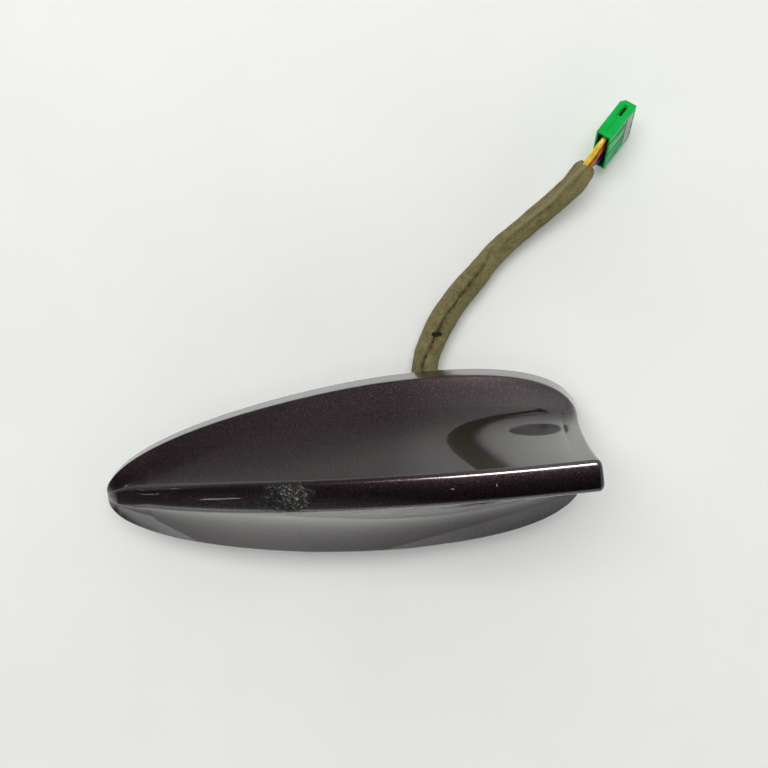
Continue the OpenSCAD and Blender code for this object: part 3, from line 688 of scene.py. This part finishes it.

# %% [markdown]
# ## The cord
# The sleeve with its wires and its plug is a free cord, as long as the sleeve.

# %% [markdown]
# ## The fin cover's form
# The cover is one moulding. Its plan is a long drop, pointed at the nose and blunt at the tail. Its
# ridge climbs in a bow, and its flanks are hollow, shallow at the nose and nearly upright at the
# tail. Pushing the faces of a box about can't give such even curves. So the form is a handful of
# formulas over the distance from the nose.

# %% Curves of the cover, in millimetres from the nose
LENGTH, WIDTH, WIDEST = 150.0, 53.6, 93.0
RIDGE_NOSE, RIDGE_TAIL, BOW = 3.2, 52.9, 46.0
HALF_NOSE, HALF_TAIL = 4.9, 4.25
WALL_H, WALL_NOSE, LEAN = 7.6, 3.8, 1.1
NOSE_ROUND, TAIL_ROUND = 5.5, 1.6
# How full and how blunt the rim is in plan, towards the nose and towards the tail
NOSE_FULL, NOSE_BLUNT, TAIL_FULL, TAIL_BLUNT = 1.6, 2.09, 2.48, 3.56
# The wall is at full height from here on, and the ridge's share of the rim's width is at most this
WALL_FULL, RIDGE_SHARE = WIDEST / 1.5, 0.7
# The ridge is drawn in by these shares over these distances from the nose
SLIM, SLIM_REACH, PINCH, PINCH_REACH = 0.4, 55, 0.65, 14


def rim_half(x):
    if x < WIDEST:
        return WIDTH / 2 * (1 - ((WIDEST - x) / WIDEST) ** NOSE_FULL) ** (1 / NOSE_BLUNT)
    past = (x - WIDEST) / (LENGTH - WIDEST)
    return WIDTH / 2 * max(0.0, 1 - past ** TAIL_FULL) ** (1 / TAIL_BLUNT)


def nose_ease(x):
    """Rounding of the nose in side view, from 0 at the tip to 1."""
    return math.sqrt(1 - (1 - min(1.0, x / NOSE_ROUND)) ** 2)


def tail_drop(x):
    """How far the tail end of the ridge is rounded off."""
    past = (x - LENGTH + TAIL_ROUND) / TAIL_ROUND
    return TAIL_ROUND * (1 - math.sqrt(max(0.0, 1 - past * past))) if past > 0 else 0.0


def ridge_height(x):
    v = x / LENGTH
    bowed = RIDGE_NOSE + (RIDGE_TAIL - RIDGE_NOSE) * v + BOW * v * (1 - v)
    return nose_ease(x) * bowed - tail_drop(x)


def wall_height(x):
    return nose_ease(x) * (WALL_NOSE + (WALL_H - WALL_NOSE) * min(1.0, x / WALL_FULL))


def lean(x):
    """How far the top of the upright wall leans in over the rim."""
    return min(LEAN, rim_half(x) / 6)


def drawn_in(x, share, reach):
    return 1 - share * max(0.0, 1 - x / reach) ** 2


def ridge_half(x):
    widest = min(x, WIDEST)
    half = HALF_NOSE + (HALF_TAIL - HALF_NOSE) * x / LENGTH
    slim = drawn_in(x, SLIM, SLIM_REACH) * drawn_in(x, PINCH, PINCH_REACH)
    return min(RIDGE_SHARE * (rim_half(widest) - lean(widest)), half * slim) - tail_drop(x)


for x in (10, WIDEST, 140):
    print("at", x, "mm: half width", round(rim_half(x), 1), "height", round(ridge_height(x), 1))

# %% [markdown]
# ## The hollow flank
# The flank is a shoulder that turns up into the upright fin, more sharply towards the tail. One arc
# can't do both. So a power of the height gives the turn, and a straight share gives the fin's lean.

# %% Flank and place of a section
TURN_NOSE, TURN_TAIL = 1.6, 13.0
FIN_LEAN, NOSE_LEAN_GAIN, UPRIGHT_FROM, LEAN_FADE = 0.12, 0.52, 144.0, 0.8
# The most of the flank's width that the fin's own lean takes
LEAN_SHARE = 0.8
# The tail edge is hollowed forwards, and the ridge's end stands out behind the rim. The last number
# is a power: the higher it is, the nearer to the tail both begin
TAIL_HOLLOW, TAIL_OVERHANG, TAIL_REACH = 1.3, 0.8, 12
NOSE_X = 86.0
RIM_Z = 1.0


def turn_up(x):
    """How sharply the flank turns up from the shoulder into the upright fin."""
    return TURN_NOSE + (TURN_TAIL - TURN_NOSE) * (x / LENGTH) ** 3


def flank_side(x, rise, span, s):
    """Half width over the ridge at a share of the flank's height."""
    leaning = FIN_LEAN + NOSE_LEAN_GAIN * max(0.0, 1 - x / UPRIGHT_FROM) ** LEAN_FADE
    run = min(LEAN_SHARE * span, rise * leaning)
    return run * (1 - s) + (span - run) * (1 - s) ** turn_up(x)


def placed(x, side, height):
    """A section's point in space, with the tail edge hollowed and the ridge drawn back."""
    s = height / RIDGE_TAIL
    draw = (x / LENGTH) ** TAIL_REACH * (TAIL_OVERHANG * s - TAIL_HOLLOW * math.sin(math.pi * min(1.0, s)))
    return Vector(((x - NOSE_X + draw) * MM, side * MM, (height + RIM_Z) * MM))


print("the flank's turn goes from", turn_up(0), "to", turn_up(LENGTH))

# %% [markdown]
# ## The cover's sections
# A section goes from the rim up a nearly upright wall, turns in over a fine crease, climbs the flank,
# and rolls over a round edge to the crown. Every section has the same number of points, because the
# skin joins them one to one. They lie closer where the form turns fast, so the gloss shows no facets.

# %% Outer and inner half sections
WALL_STEPS, CREASE_STEPS, FLANK_STEPS, EDGE_STEPS, CROWN_STEPS = 4, 4, 60, 10, 6
FLANK_SPREAD = 1.2
CREASE_R = 0.45
# The ridge's edge is rounder towards the nose, and its arc ends this many degrees round
EDGE_R, NOSE_EDGE_GAIN, NOSE_EDGE_END, EDGE_ARC = 1.5, 1.6, 80.0, 82
SKIN = 2.0
INNER_STEPS, INNER_SPREAD = 12, 1.4
# The least height of the inner wall, and the least half widths of the inner ridge and flank
LEAST_WALL, LEAST_RIDGE, LEAST_FLANK = 0.4, 0.8, 0.2
# How far under the inner ridge's top its edge lies, and how far the point at a share of its width
INNER_EDGE, INNER_CROWN, CROWN_SHARE = 0.3, 0.05, 0.6
# A small step up the flank, from which its slope at the crease is found
SLOPE_STEP = 0.01


def crease(foot, corner, start):
    """A soft corner from the wall's top into the flank's start."""
    points = []
    for i in range(CREASE_STEPS):
        t = i / CREASE_STEPS
        points.append(tuple(
            (1 - t) ** 2 * a + 2 * t * (1 - t) * b + t * t * c for a, b, c in zip(foot, corner, start)))
    return points


def outer_half(x):
    """Side and height from the rim to the crown."""
    ridge = ridge_half(x)
    wide = max(rim_half(x), ridge + lean(x))
    wall, high, inward = wall_height(x), ridge_height(x), lean(x)
    edge = EDGE_R + NOSE_EDGE_GAIN * max(0.0, 1 - x / NOSE_EDGE_END)
    edge = min(edge, (high - wall) / 3, ridge * 0.8)
    arc = math.radians(EDGE_ARC)
    flat = ridge - edge + edge * math.cos(arc)
    crown = math.tan(math.radians(90) - arc) * flat / 2
    side = high - crown - edge * math.sin(arc)
    span = wide - inward - ridge

    def flank(s):
        return (ridge + flank_side(x, side - wall, span, s), wall + (side - wall) * s)

    near = min(CREASE_R, wall / 3)
    slope = (span - flank_side(x, side - wall, span, SLOPE_STEP)) / SLOPE_STEP
    first = min(0.3, near / max(slope, 1e-6))
    shares = [(i / WALL_STEPS) * (1 - near / wall) for i in range(WALL_STEPS)]
    points = [(wide - inward * t, wall * t) for t in shares]
    foot = (wide - inward * (1 - near / wall), wall - near)
    points += crease(foot, (wide - inward, wall), flank(first))
    for i in range(FLANK_STEPS):
        share = (1 - math.cos(math.pi * (i / FLANK_STEPS) ** FLANK_SPREAD)) / 2
        points.append(flank(first + (1 - first) * share))
    for i in range(EDGE_STEPS + 1):
        a = arc * i / EDGE_STEPS
        points.append((ridge - edge * (1 - math.cos(a)), side + edge * math.sin(a)))
    for i in range(1, CROWN_STEPS + 1):
        y = flat * (1 - i / CROWN_STEPS)
        points.append((y, high - crown * (y / flat) ** 2))
    return points


def inner_half(x):
    """The same inside, from the foot up, without the fine rounding."""
    wide, wall = rim_half(x) - SKIN, max(LEAST_WALL, wall_height(x) - SKIN)
    inward, high = lean(x), ridge_height(x) - SKIN
    ridge = min(max(LEAST_RIDGE, ridge_half(x) - SKIN), wide - inward - LEAST_FLANK)
    span, rise = wide - inward - ridge, high - INNER_EDGE - wall
    points = [(wide, 0), (wide - inward, wall)]
    for i in range(1, INNER_STEPS + 1):
        s = (i / INNER_STEPS) ** INNER_SPREAD
        points.append((ridge + flank_side(x, rise, span, s), wall + rise * s))
    return points + [(ridge * CROWN_SHARE, high - INNER_CROWN), (0, high)]


print("points in a half section:", len(outer_half(WIDEST)), "outside,", len(inner_half(WIDEST)), "inside")

# %% [markdown]
# ## The skin over the sections
# The faces could be made one by one. A grid with as many rows as sections has them all at once, and
# each vertex then takes its place from its row's section. The two ends are closed strip by strip.
# Two numbers are kept for the paint: where the upright wall is, and how strongly the coat mirrors.

# %% Lay a grid over the sections
ROWS = 290
# The coat deepens from this distance on, over this length, up to this share. The last share is that
# of the near flank
TAIL_COAT_FROM, TAIL_COAT_LENGTH, TAIL_COAT, NEAR_COAT = 95, 40, 0.7, 0.35


def spread(first, last):
    """Distances from the nose, one for each row, closer together at both ends."""
    shares = [(1 - math.cos(math.pi * i / (ROWS - 1))) / 2 for i in range(ROWS)]
    return [first + (last - first) * share for share in shares]


def close_end(bm, ring):
    """Faces across an end section, strip by strip from side to side."""
    for i in range(len(ring) // 2):
        corners = list(dict.fromkeys((ring[i], ring[i + 1], ring[-2 - i], ring[-1 - i])))
        if len(corners) > 2:
            bm.faces.new(corners)


def skin_over(name, first, last, half_at, wall_columns):
    """A sheet whose rows are sections, closed at its two ends."""
    stations = spread(first, last)
    sections = []
    for x in stations:
        half = half_at(x)
        sections.append([placed(x, y, z) for y, z in half] + [placed(x, -y, z) for y, z in half[-2::-1]])
    columns = len(sections[0])
    bpy.ops.mesh.primitive_grid_add(x_subdivisions=ROWS - 1, y_subdivisions=columns - 1, size=1)
    sheet = bpy.context.active_object
    sheet.name = name
    corner_at, in_wall, depths = {}, [], []
    for vertex in sheet.data.vertices:
        row = round((vertex.co.x + 0.5) * (ROWS - 1))
        column = round((vertex.co.y + 0.5) * (columns - 1))
        vertex.co = sections[row][column]
        corner_at[row, column] = vertex.index
        in_wall.append(1.0 if min(column, columns - 1 - column) < wall_columns else 0.0)
        tail = TAIL_COAT * min(1.0, max(0.0, (stations[row] - TAIL_COAT_FROM) / TAIL_COAT_LENGTH))
        depths.append(max(tail, NEAR_COAT if column > columns / 2 else 0.0))
    keep_numbers(sheet, "rim_wall", in_wall)
    keep_numbers(sheet, "coat_depth", depths)
    bm = bmesh.new()
    bm.from_mesh(sheet.data)
    bm.verts.ensure_lookup_table()
    for row in (0, ROWS - 1):
        close_end(bm, [bm.verts[corner_at[row, column]] for column in range(columns)])
    bmesh.ops.recalc_face_normals(bm, faces=bm.faces)
    bm.to_mesh(sheet.data)
    bm.free()
    print(name, ROWS, "rows of", columns)
    return sheet


cover = skin_over("fin_shell", 0.02, LENGTH, outer_half, WALL_STEPS + 1)
inside = skin_over("fin_inside", 4, LENGTH - SKIN, inner_half, 0)

# %% [markdown]
# ## The cover's thickness
# Solidify would give the wall an even thickness, but it folds over itself in the narrow ridge. So the
# inner skin is turned to face the hollow and joined to the outer one, and a bridge closes the rim.

# %% Join the two skins at the rim
edit_all(inside)
bpy.ops.mesh.flip_normals()
end_edit()
only(cover)
inside.select_set(True)
bpy.ops.object.join()
bpy.ops.object.mode_set(mode="EDIT")
bpy.ops.mesh.select_mode(type="EDGE")
bpy.ops.mesh.select_all(action="DESELECT")
bpy.ops.mesh.select_non_manifold(extend=False)
bpy.ops.mesh.bridge_edge_loops()
bpy.ops.mesh.select_all(action="SELECT")
bpy.ops.mesh.normals_make_consistent(inside=False)
end_edit()
print("cover with its wall:", len(cover.data.polygons), "faces")

# %% [markdown]
# ## Metallic paint
# Car paint is a dark base with metal flakes under a clear coat. Painted as one dark colour it looks
# like plain plastic. Here the flakes are small cells, each with its own shade, and a few of them are
# bright and pink, so the paint glitters. The coat is a second smooth layer that mirrors the table.

# %% Flakes
FINE_FLAKE, COARSE_FLAKE = 0.09 * MM, 0.17 * MM
FLAKE_SHADES = ((0.0, (0.006, 0.004, 0.0045)), (0.7, (0.018, 0.012, 0.0135)), (1.0, (0.05, 0.033, 0.037)))
GLITTER = ((0.9, 0.0), (1.0, 0.45))
BRIGHT_FLAKE = (0.16, 0.1, 0.105)

paint, tree, shader, place = new_material("maroon_metallic")


def flake_cells(cell):
    """One random number for each cell of that size in metres."""
    cells = tree.nodes.new("ShaderNodeTexVoronoi")
    set_up(tree, cells, {"Vector": place, "Scale": 1 / cell})
    split = tree.nodes.new("ShaderNodeSeparateColor")
    tree.links.new(cells.outputs["Color"], split.inputs["Color"])
    return split.outputs["Red"]


shades = ramp(tree, flake_cells(FINE_FLAKE), *FLAKE_SHADES)
glitter = ramp(tree, flake_cells(COARSE_FLAKE), *GLITTER)
flake_colour = mixed(tree, glitter, shades, BRIGHT_FLAKE)
print("flakes of", FINE_FLAKE / MM, "and", COARSE_FLAKE / MM, "mm")

# %% [markdown]
# ## Wear on the ridge
# The ridge has one scrape: the coat is gone, the plastic below is rough and dark, and crossing
# scratches show pale. Towards the tail end of the patch they are paler still: a painted highlight.
# Scratches drawn one by one would look counted. Two noises, each stretched its own way, make them,
# and also raise the surface there.

# %% Scuff and chips
SCUFF = ((-21.8, -0.1, 36), (9.8, 5.0, 12), 0.9, 380)
# The tail end of the scuff, where the scratches take a paler ramp: a painted highlight
PAINTED_GLINT_END = ((-18.5, 0.8, 37), (5.0, 4.9, 9), 1.2, 300)
SCRAPED = ((0.52, (0.002, 0.002, 0.003)), (0.62, (0.02, 0.02, 0.022)), (0.74, (0.22, 0.215, 0.21)))
SCRAPED_PAINTED_GLINT = ((0.5, (0.006, 0.006, 0.006)), (0.6, (0.035, 0.033, 0.03)), (0.72, (0.5, 0.48, 0.42)))
FIRST_CHIP = ((25.6, 0.2, 49.9), (0.5, 0.22, 1), 0.8, 2500)
MORE_CHIPS = (
    ((37.2, 0.3, 51.7), (0.16, 0.55, 1), 0.5),
    ((-35, -8.7, 14.9), (0.3, 0.5, 1), 0.5),
    ((-30.3, -9.1, 15.6), (0.8, 0.25, 1), 0.5),
)


def scratches(angle, scale, stretch):
    """Streaks that run at an angle in the plan view."""
    turned = mapped(tree, place, "Rotation", (0, 0, math.radians(angle)))
    return noise_at(tree, turned, scale, 4, 0.7, (1, stretch, 1))


scuff = patch(tree, place, *SCUFF)
streaks = sum_up(tree, "MAXIMUM", scratches(38, 520, 3.0), scratches(-32, 700, 2.5))
# The scratches are wear, and towards the patch's tail end they get the paler ramp, a painted highlight
scratches_with_glint = mixed(
    tree, patch(tree, place, *PAINTED_GLINT_END),
    ramp(tree, streaks, *SCRAPED), ramp(tree, streaks, *SCRAPED_PAINTED_GLINT))
chips = patch(tree, place, *FIRST_CHIP)
for chip in MORE_CHIPS:
    chips = sum_up(tree, "MAXIMUM", chips, patch(tree, place, *chip))
worn = sum_up(tree, "MAXIMUM", scuff, chips)
print("chips:", 1 + len(MORE_CHIPS))

# %% [markdown]
# ## The clear coat
# The coat is smooth everywhere but not equally deep. A deep coat mirrors more: on the upright wall,
# at the tail and on the near flank the pale table shows clearly, while the far flank stays dark. The
# coat's index of refraction follows the numbers that the skin keeps. Where the paint is worn, the
# coat and the metal go, and the surface gets rougher.

# %% Put the paint together
# The upright wall's paler grey stands in for the pale table it mirrors: a painted reflection
WALL_PAINTED_REFLECTION, CHIP_COLOUR = (0.062, 0.055, 0.057), (0.16, 0.12, 0.12)
# Index of refraction of the thinnest coat, and how much a deep coat adds
THIN_COAT, DEEP_COAT = 1.165, 0.62
# What wear adds to each, and the value of the unworn paint
WEAR = {"Metallic": (-0.6, 1.0), "Roughness": (0.15, 0.3), "Coat Weight": (-0.9, 1.0)}

# The upright wall gets the paler grey, a painted reflection of the table
colour = mixed(tree, kept_number(tree, "rim_wall"), flake_colour, WALL_PAINTED_REFLECTION)
colour = mixed(tree, scuff, colour, scratches_with_glint)
colour = mixed(tree, chips, colour, CHIP_COLOUR)
smooth = {"Specular IOR Level": 0.15, "Coat Roughness": 0.015, "Coat IOR": 1.35}
set_up(tree, shader, {"Base Color": colour, **smooth})
for name, (change, unworn) in WEAR.items():
    tree.links.new(sum_up(tree, "MULTIPLY_ADD", worn, change, unworn), shader.inputs[name])
coat_depth = sum_up(tree, "MAXIMUM", kept_number(tree, "rim_wall"), kept_number(tree, "coat_depth"))
tree.links.new(
    sum_up(tree, "MULTIPLY_ADD", coat_depth, DEEP_COAT, THIN_COAT), shader.inputs["Coat IOR"])
bumped(tree, shader, times(tree, streaks, scuff), 0.3 * MM, 0.6)
finish_piece(cover, paint, 32)
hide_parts("fin_cover")

# %% [markdown]
# ## Finishes for the parts of the solid model
# The base, the seals, the circuit and the screws keep their solids. A plain colour on each would look
# like a drawing, so each gets the grain of its metal, rubber, laminate, ceramic or plastic. One recipe
# serves them all: a fine and a broad noise give the colour, and the fine one also gives the gloss and
# the bump. Stretched, it looks brushed.

# %% Plain finishes with a grain
GLOSS_SPREAD = 0.08


def grained(name, light, dark, scale, depth, roughness, metallic=0.0, stretch=None):
    """A finish whose colour, gloss and surface follow one grain. Its depth is in millimetres."""
    material, tree, shader, place = new_material(name)
    grain = noise_at(tree, place, scale, 4, 0.6, stretch)
    broad = noise_at(tree, place, scale / 9, 2)
    blend = sum_up(tree, "ADD", times(tree, grain, 0.6), times(tree, broad, 0.4))
    shade = ramp(tree, blend, (0.35, dark), (0.65, light))
    gloss = ramp(tree, grain, (0.3, roughness - GLOSS_SPREAD), (0.7, roughness + GLOSS_SPREAD))
    set_up(tree, shader, {"Base Color": shade, "Roughness": gloss, "Metallic": metallic})
    bumped(tree, shader, grain, depth * MM, 0.6)
    return material


# Light and dark colour, grain scale, grain depth, roughness, and then metal and stretch where needed
GRAINS = {
    "cast_alloy": ((0.42, 0.43, 0.44), (0.3, 0.31, 0.32), 900, 0.12, 0.5, 0.9),
    "seal_rubber": ((0.028, 0.028, 0.03), (0.014, 0.014, 0.015), 1300, 0.05, 0.7),
    "circuit_board": ((0.05, 0.24, 0.1), (0.02, 0.13, 0.05), 1600, 0.02, 0.35),
    "patch_ceramic": ((0.72, 0.66, 0.54), (0.62, 0.55, 0.43), 1200, 0.03, 0.6),
    "silvered": ((0.8, 0.8, 0.81), (0.6, 0.6, 0.62), 900, 0.02, 0.3, 1.0, (1, 12, 1)),
    "tinned": ((0.66, 0.66, 0.68), (0.5, 0.5, 0.52), 700, 0.02, 0.32, 1.0, (10, 1, 1)),
    "chip_plastic": ((0.05, 0.05, 0.055), (0.025, 0.025, 0.028), 1800, 0.03, 0.55),
    "nylon": ((0.8, 0.76, 0.66), (0.68, 0.63, 0.52), 700, 0.03, 0.5),
    "lead_grey": ((0.2, 0.2, 0.21), (0.12, 0.12, 0.13), 900, 0.02, 0.45),
    "bracket_black": ((0.06, 0.06, 0.064), (0.03, 0.03, 0.033), 1400, 0.05, 0.55),
    "fin_board_blue": ((0.06, 0.2, 0.27), (0.03, 0.11, 0.16), 1500, 0.02, 0.4),
    "spring_brass": ((0.68, 0.5, 0.24), (0.5, 0.35, 0.15), 800, 0.02, 0.3, 1.0, (1, 14, 1)),
    "screw_steel": ((0.6, 0.6, 0.58), (0.42, 0.42, 0.4), 1500, 0.03, 0.36, 1.0),
    "retainer_grey": ((0.42, 0.42, 0.4), (0.3, 0.3, 0.29), 1500, 0.03, 0.45),
    "contact_brass": ((0.72, 0.5, 0.22), (0.5, 0.33, 0.13), 1500, 0.02, 0.3, 1.0),
}
finishes = {name: grained(name, *values) for name, values in GRAINS.items()}
for row in frame["record"]["subparts"]:
    finish = finishes.get(row["material_slot"])
    if finish:
        node = frame["nodes"][row["node"]]
        node.data.materials.clear()
        node.data.materials.append(finish)
print("finishes:", len(finishes))

# %% [markdown]
# ## The table
# The antenna lies on a pale matt table. Pure white would lose the object's soft shadow. So the table
# is a very pale grey with faint clouds in it, and a shallow bump breaks up its sheen.

# %% Table
TABLE_SIZE = 6
PALE = ((0.3, (0.79, 0.8, 0.775)), (0.7, (0.82, 0.825, 0.805)))

bpy.ops.mesh.primitive_plane_add(size=TABLE_SIZE, location=(0, 0, FLOOR))
table = bpy.context.active_object
bpy.ops.object.transform_apply(location=True, rotation=True, scale=True)
table.name = "table"
pale, tree, shader, place = new_material("pale_table")
clouds = ramp(tree, noise_at(tree, place, 18, 3), *PALE)
set_up(tree, shader, {"Base Color": clouds, "Roughness": 0.6, "Specular IOR Level": 0.2})
bumped(tree, shader, noise_at(tree, place, 420, 3), 0.1 * MM, 0.35)
table.data.materials.append(pale)
print("table at", FLOOR)

# %% [markdown]
# ## Lamps
# A glossy object is lit by what it mirrors. One wide soft lamp overhead gives the light and the soft
# shadow. A second one behind it, as a window, is there for the long highlight on the far edge of the
# ridge, and three small ones make the short glints at the nose. Those four would spoil the shadow, so
# they don't light rough surfaces.

# %% Hang the lamps
# Place, point aimed at, width, height and power
OVERHEAD = ((0.1, 0.95, 2.4), (0, 0, 0), 2.4, 1.3, 54)
WINDOW = ((-0.445, 1.246, 2.203), (0, 0, 0.05), 1.5, 0.81, 165)
NOSE = (-0.05, 0, 0.02)
TUBES = (
    ((-2.27, -0.445, 1.07), NOSE, 0.025, 0.32, 1.2),
    ((-2.45, 0.0, 0.58), NOSE, 0.025, 0.12, 0.4),
    ((-2.2, 1.28, 0.2), NOSE, 0.1, 0.1, 0.9),
)


def soft_lamp(name, at, target, width, height, power):
    """A flat lamp that faces a point."""
    data = bpy.data.lights.new(name, "AREA")
    data.shape = "RECTANGLE"
    data.size, data.size_y, data.energy = width, height, power
    lamp = add(name, data)
    lamp.location = at
    lamp.rotation_mode = "QUATERNION"
    lamp.rotation_quaternion = (Vector(target) - Vector(at)).to_track_quat("-Z", "Y")
    return lamp


soft_lamp("overhead", *OVERHEAD)
glints = [soft_lamp("window", *WINDOW)]
glints += [soft_lamp("tube_" + str(i), *tube) for i, tube in enumerate(TUBES)]
for lamp in glints:
    lamp.visible_diffuse = False
print("lamps:", 1 + len(glints))

# %% [markdown]
# ## The room
# The ridge's top stays nearly black, because the room straight above it is dark, and the flanks are
# lighter, because the walls are pale. The world is therefore a grey that changes with the direction:
# pale round the horizon, dark overhead, darker towards the nose, brighter on the far side, and with a
# large pale board low on the near side, which lights up the near flank.

# %% Room
# How pale the room is from the horizon up, and from the nose's end round to the tail's
FROM_HORIZON_UP = ((0.0, 0.66), (0.3, 0.72), (0.6, 0.6), (0.8, 0.0))
FROM_NOSE_TO_TAIL = ((0.04, 0.12), (0.2, 0.5), (0.4, 1.0))
FAR_SIDE_GAIN = 0.7
DARKEST = 0.012
# The near side starts this far round, and the board's edges fade over these stretches
NEAR_FROM = -0.25
BOARD_NEAR = ((0.1, 0.0), (0.3, 1.0))
BOARD_TOP = ((0.25, 1.0), (0.45, 0.0))
BOARD_END = ((0.3, 1.0), (0.62, 0.12))
BOARD_COLOUR = (2.3, 2.48, 2.4)

world = bpy.data.worlds.new("room")
bpy.context.scene.world = world
world.use_nodes = True
tree = world.node_tree
background = tree.nodes["Background"]
direction = tree.nodes.new("ShaderNodeTexCoord")
parts = tree.nodes.new("ShaderNodeSeparateXYZ")
tree.links.new(direction.outputs["Generated"], parts.inputs["Vector"])
along, across, up = (parts.outputs[axis] for axis in "XYZ")

near = sum_up(tree, "MAXIMUM", sum_up(tree, "SUBTRACT", NEAR_FROM, across), 0.0)
from_nose = sum_up(tree, "MULTIPLY_ADD", along, 0.5)
paleness = times(
    tree, ramp(tree, up, *FROM_HORIZON_UP),
    ramp(tree, sum_up(tree, "ADD", from_nose, near), *FROM_NOSE_TO_TAIL))
far_side = sum_up(tree, "MULTIPLY_ADD", sum_up(tree, "MAXIMUM", across, 0.0), FAR_SIDE_GAIN, 1.0)
room = sum_up(tree, "ADD", times(tree, paleness, far_side), DARKEST)
board = times(tree, ramp(tree, near, *BOARD_NEAR), ramp(tree, up, *BOARD_TOP))
board = times(tree, board, ramp(tree, from_nose, *BOARD_END))
room = mixed(tree, board, room, BOARD_COLOUR)
tree.links.new(room, background.inputs["Color"])
bpy.context.scene.view_settings.view_transform = "Standard"
print("room nodes:", len(tree.nodes))
